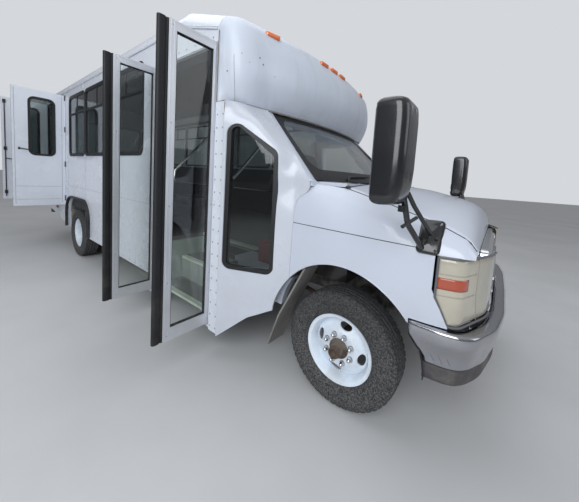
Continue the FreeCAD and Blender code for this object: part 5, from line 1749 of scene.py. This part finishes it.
@dataclass
class Interior:
    """Lining, steps, rails, seat and dashboard details, the driver's handle and the roof hatch.

    Attributes:
        wall: Side place of the inner wall.
        steps: Side place of the outer edge and height of each step and of the floor.
        reach: Front and rear station of the stepwell.
    """

    wall: float = 1179.0
    steps: tuple[Flat, ...] = ((-1164.0, 300.0), (-894.0, 520.0), (-624.0, 740.0))
    reach: Flat = (-1004.0, -1968.0)

    def lining(self) -> None:
        """Lines the walls: dark below, grey between and over the windows."""
        low, mid, ribs = Form(), Form(), Form()
        body = PassengerBody()
        for holes, sign, ends in ((body.left_windows, 1, (-6500.0, -1482.0)),
                                  (body.right_windows, -1, (-5110.0, -2000.0))):
            near, far = sorted((sign * (self.wall - 4), sign * (self.wall - 0.5)))
            low.box((ends[0], near, DECK + 4), (ends[1], far, 1180))
            mid.box((ends[0], near, 1181), (ends[1], far, 1566))
            mid.box((ends[0], near, 2546), (ends[1], far, 2620 if sign < 0 else 2600))
            spans = sorted(holes)
            gaps = zip([ends[0], *(b for _, b in spans)], [*(a for a, _ in spans), ends[1]])
            for left, right in gaps:
                if right - left > 70:
                    mid.box((left + 30, near, 1567), (right - 30, far, 2545))
            ribs.box((ends[0], near - 4, 1174), (ends[1], far + (0 if sign > 0 else 4), 1186))
        over, cap = Form(), FrontCap()
        over.grid([[(x, y, cap.roof(max(x, cap.slope_start), y) - 52) for y in spread(-1140, 1140, 41)]
                   for x in (-6480.0, -4000.0, -1500.0, -1030.0)])
        over.piece("ceiling_lining", ceiling_dark, thick=2.0)
        low.piece("lower_lining", lining_dark)
        mid.piece("upper_lining", lining_grey)
        ribs.piece("lining_rail", stainless)

    def stairs(self) -> None:
        """Gives each step a bright nosing and rows of tread ribs."""
        nosing, tread = Form(), Form()
        front, rear = self.reach
        for y, z in self.steps:
            nosing.box((rear + 4, y - 3, z - 24), (front - 4, y + 0.2, z + 2.5))
            nosing.box((rear + 4, y - 3, z), (front - 4, y + 42, z + 2.5))
            for k in range(9 if z < 700 else 26):
                tread.box((rear + 4, y + 52 + 22 * k, z), (front - 4, y + 66 + 22 * k, z + 1.6))
        nosing.piece("step_nosings", step_edge, bevel=1.0)
        tread.piece("tread_ribs", floor_grey)

    def rails(self) -> None:
        """Makes the bent rails beside the steps and the upright post."""
        form, flange = Form(), Form()
        form.tube([(-1985, -520, DECK), (-1985, -520, 2800)], 16, 20)
        for x, side in ((-1955, 1), (-1030, -1)):
            height = 1900 if side > 0 else 1850
            form.tube([(x, -1100, 700), (x, -1100, height - 400), (x, -560, height)], 14, 18, bend=100)
            flange.lathe([(32, 701), (32, 707), (16, 712)], (x, -1100, 0), steps=24, axis=2)
        flange.lathe([(38, 0), (38, 7), (18, 15)], (-1985, -520, DECK), steps=24, axis=2)
        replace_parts(form.piece("bent_rails", stainless), "grab_rails")
        flange.piece("rail_flanges", stainless)

    def pad(self, name: str, low: Point, high: Point, lean: float) -> None:
        """Makes one crowned cushion with its piping.

        Args:
            name: Name of the piece.
            low: Lowest corner.
            high: Highest corner.
            lean: Backward lean for each mm of height.
        """
        form, piping = Form(), Form()
        middle = [(a + b) / 2 for a, b in zip(low, high)]
        half = [(b - a) / 2 for a, b in zip(low, high)]

        def bend(value: float, power: float) -> float:
            """Raises a value to a power and keeps its sign."""
            return math.copysign(abs(value) ** power, value)

        rows = []
        for up in spread(-89.5, 89.5, 27):
            row = []
            for turn in spread(0, 360, 65)[:-1]:
                u, v = math.radians(up), math.radians(turn)
                pinch = 1 - 0.03 * abs(math.cos(2 * v))
                spot = [bend(math.cos(v), 0.36) * bend(math.cos(u), 0.32) * pinch,
                        bend(math.sin(v), 0.36) * bend(math.cos(u), 0.32) * pinch, bend(math.sin(u), 0.55)]
                x, y, z = (m + h * s for m, h, s in zip(middle, half, spot))
                row.append((x - lean * (z - low[2]), y, z))
            rows.append(row)
        form.grid(rows, wrap=True)
        form.close(rows[0], rows[-1])
        form.piece(name, seat_cloth, sharp=80)
        piping.tube([*rows[13], rows[13][0]], 4.5, sides=8)
        piping.piece(f"{name}_piping", black_rubber)

    def seat(self) -> None:
        """Makes the driver's seat: box, cushion and back."""
        base = Form()
        base.box((-1280, 380, DECK), (-900, 720, 900))
        base.box((-1300, 365, 905), (-880, 755, 1012))
        for y in (400, 690):
            base.box((-1270, y - 18, 900), (-910, y + 18, 906))
        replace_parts(base.piece("seat_base", trim_grey, bevel=6.0), "driver_seat")
        self.pad("seat_cushion", (-1330, 350, 1012), (-852, 780, 1140), 0.0)
        self.pad("seat_back", (-1352, 360, 1142), (-1252, 770, 1758), 0.13)

    def dash(self) -> None:
        """Adds the instrument hood, vents, dials, a stalk, the red box and the door lever."""
        form, rings, red = Form(), Form(), Form()
        hood = soft_outline([(-330, 1391), (-330, 1470), (-470, 1470), (-505, 1350)], [10, 40, 25, 10])
        form.prism(standing(hood, 300), (0, 300, 0))
        for y in (-560, -420, 180, 640):
            for k in range(5):
                form.box((-497, y - 60, 1190 + 20 * k), (-493, y + 60, 1198 + 20 * k))
        form.tube([(-650, 470, 1330), (-640, 640, 1350)], 7)
        form.piece("dash_details", dark_plastic, bevel=2.0)
        for y in (390, 510):
            rings.lathe([(48, 0), (52, -5), (44, -6), (43, 0)], (-500, y, 1400), steps=32, axis=0)
        rings.piece("dial_rims", chrome)
        red.box((-800, -900, DECK + 1), (-640, -720, 905))
        red.box((-790, -890, 905), (-650, -730, 925))
        red.piece("red_box", red_lens, bevel=8.0)
        lever = Form()
        lever.tube([(-760, -640, DECK + 1), (-760, -700, 1350), (-700, -760, 1520)], 12, bend=80)
        lever.lathe([(5, 0), (24, 10), (28, 30), (20, 50), (4, 56)], (-700, -760, 1510), steps=24, axis=2)
        lever.piece("door_lever", dark_plastic)

    def outside(self) -> None:
        """Adds the driver's door handle and the roof's hatch."""
        handle, roof = Form(), Form()
        handle.prism(panel((-905, 1165), (-745, 1225), 16, 1003), (0, 6, 0))
        handle.tube([(-890, 1008, 1205), (-885, 1034, 1205), (-770, 1034, 1205), (-762, 1008, 1205)], 9,
                    bend=12)
        handle.piece("door_handle", dark_plastic, "driver_door", bevel=2.0)
        roof.prism(panel((-3700, -330), (-3040, 330), 50, 2846, 2), (0, 0, 29))
        roof.piece("roof_hatch", moulded_white, bevel=8.0)

    def build(self) -> None:
        """Makes everything inside, the handle and the hatch."""
        self.lining()
        self.stairs()
        self.rails()
        self.seat()
        self.dash()
        self.outside()


@dataclass
class Studio:
    """Camera of the photograph, pale floor and soft lamps.

    Attributes:
        eye: Place of the camera, in vehicle mm.
        yaw: Heading of the view from +X towards +Y, in degrees.
        pitch: Tilt of the view above the level, in degrees.
        roll: Turn of the picture, in degrees.
        lens: Focal length for a sensor 36 mm wide.
        shift: Shift of the picture's centre, in picture widths.
    """

    eye: tuple[float, float, float] = (704.3, -2470.7, 1433.9)
    yaw: float = 128.407
    pitch: float = -4.936
    roll: float = 3.5
    lens: float = 16.657
    shift: tuple[float, float] = (0.0064, -0.0855)

    def camera(self) -> None:
        """Places the camera."""
        yaw, pitch, roll = (math.radians(a) for a in (self.yaw, self.pitch, self.roll))
        forward = Vector((math.cos(yaw) * math.cos(pitch), math.sin(yaw) * math.cos(pitch), math.sin(pitch)))
        level = Vector((math.sin(yaw), -math.cos(yaw), 0.0))
        up = level.cross(forward)
        right = math.cos(roll) * level + math.sin(roll) * up
        top = -math.sin(roll) * level + math.cos(roll) * up
        data = bpy.data.cameras.new("camera")
        data.lens = self.lens
        data.sensor_width = 36.0
        data.shift_x, data.shift_y = self.shift
        data.clip_start = 0.05
        data.clip_end = 200.0
        camera = add_object("camera", data)
        turn = Matrix((right, top, -forward)).transposed().to_4x4()
        camera.matrix_world = Matrix.Translation(at(*self.eye)) @ turn
        bpy.context.scene.camera = camera

    def floor(self) -> None:
        """Lays a wide pale floor."""
        mesh = bpy.data.meshes.new("floor")
        reach = 60.0
        mesh.from_pydata([(-reach, -reach, 0), (reach, -reach, 0), (reach, reach, 0), (-reach, reach, 0)], [],
                         [(0, 1, 2, 3)])
        floor = add_object("floor", mesh)
        graph = Graph("floor")
        shade = graph.mix(graph.band(graph.noise(0.8, 5.0), 0.3, 0.7),
                          (0.60, 0.605, 0.61), (0.55, 0.555, 0.56))
        graph.set(Base_Color=shade, Roughness=0.65)
        mesh.materials.append(graph.material)

    def lamps(self) -> None:
        """Hangs soft lamps above and lights the world evenly."""
        world = bpy.data.worlds.new("studio")
        world.use_nodes = True
        tree = world.node_tree
        light = tree.nodes["Background"]
        light.inputs[1].default_value = 0.44
        spot, split, rise = (tree.nodes.new(f"ShaderNode{kind}")
                             for kind in ("TexCoord", "SeparateXYZ", "MapRange"))
        ramp = tree.nodes.new("ShaderNodeMix")
        ramp.data_type = "RGBA"
        ramp.inputs[6].default_value = (0.38, 0.40, 0.44, 1)
        ramp.inputs[7].default_value = (0.98, 1.0, 1.04, 1)
        rise.inputs[1].default_value, rise.inputs[2].default_value = 0.05, 0.75
        tree.links.new(spot.outputs["Generated"], split.inputs[0])
        tree.links.new(split.outputs[2], rise.inputs[0])
        tree.links.new(rise.outputs[0], ramp.inputs[0])
        tree.links.new(ramp.outputs[2], light.inputs[0])
        pale, seen, choose = (tree.nodes.new(f"ShaderNode{kind}")
                              for kind in ("Background", "LightPath", "MixShader"))
        pale.inputs[0].default_value = (0.66, 0.68, 0.71, 1)
        tree.links.new(seen.outputs["Is Camera Ray"], choose.inputs[0])
        tree.links.new(light.outputs[0], choose.inputs[1])
        tree.links.new(pale.outputs[0], choose.inputs[2])
        tree.links.new(choose.outputs[0], tree.nodes["World Output"].inputs[0])
        bpy.context.scene.world = world
        for name, place, size, watts in (
                ("lamp_side", (1500, -6500, 4200), 5.0, 345.0),
                ("lamp_roof", (-2500, -500, 6800), 7.0, 150.0),
                ("lamp_front", (6500, 1500, 4200), 4.0, 62.0)):
            data = bpy.data.lights.new(name, "AREA")
            data.shape = "SQUARE"
            data.size = size
            data.energy = watts
            data.color = (0.93, 0.965, 1.0)
            lamp = add_object(name, data)
            aim = at(-2000, 0, 1000) - at(*place)
            turn = aim.to_track_quat("-Z", "Y").to_matrix().to_4x4()
            lamp.matrix_world = Matrix.Translation(at(*place)) @ turn

    def build(self) -> None:
        """Makes the whole studio."""
        self.camera()
        self.floor()
        self.lamps()
        bpy.context.scene.view_settings.view_transform = "Standard"


def main() -> None:
    """Builds the studio and the dressed minibus."""
    logging.basicConfig(level=logging.INFO, format="%(message)s")
    Studio().build()
    dress_nodes()
    for assembly in (RoadWheels(), PassengerBody(), EntryDoors(), LiftDoors(), FrontCap(), CabSide(),
                     FrontEnd(), Lights(), FrontTrim(), Windscreen(), OutsideMirrors(), Interior()):
        assembly.build()


if __name__ == "__main__":
    main()
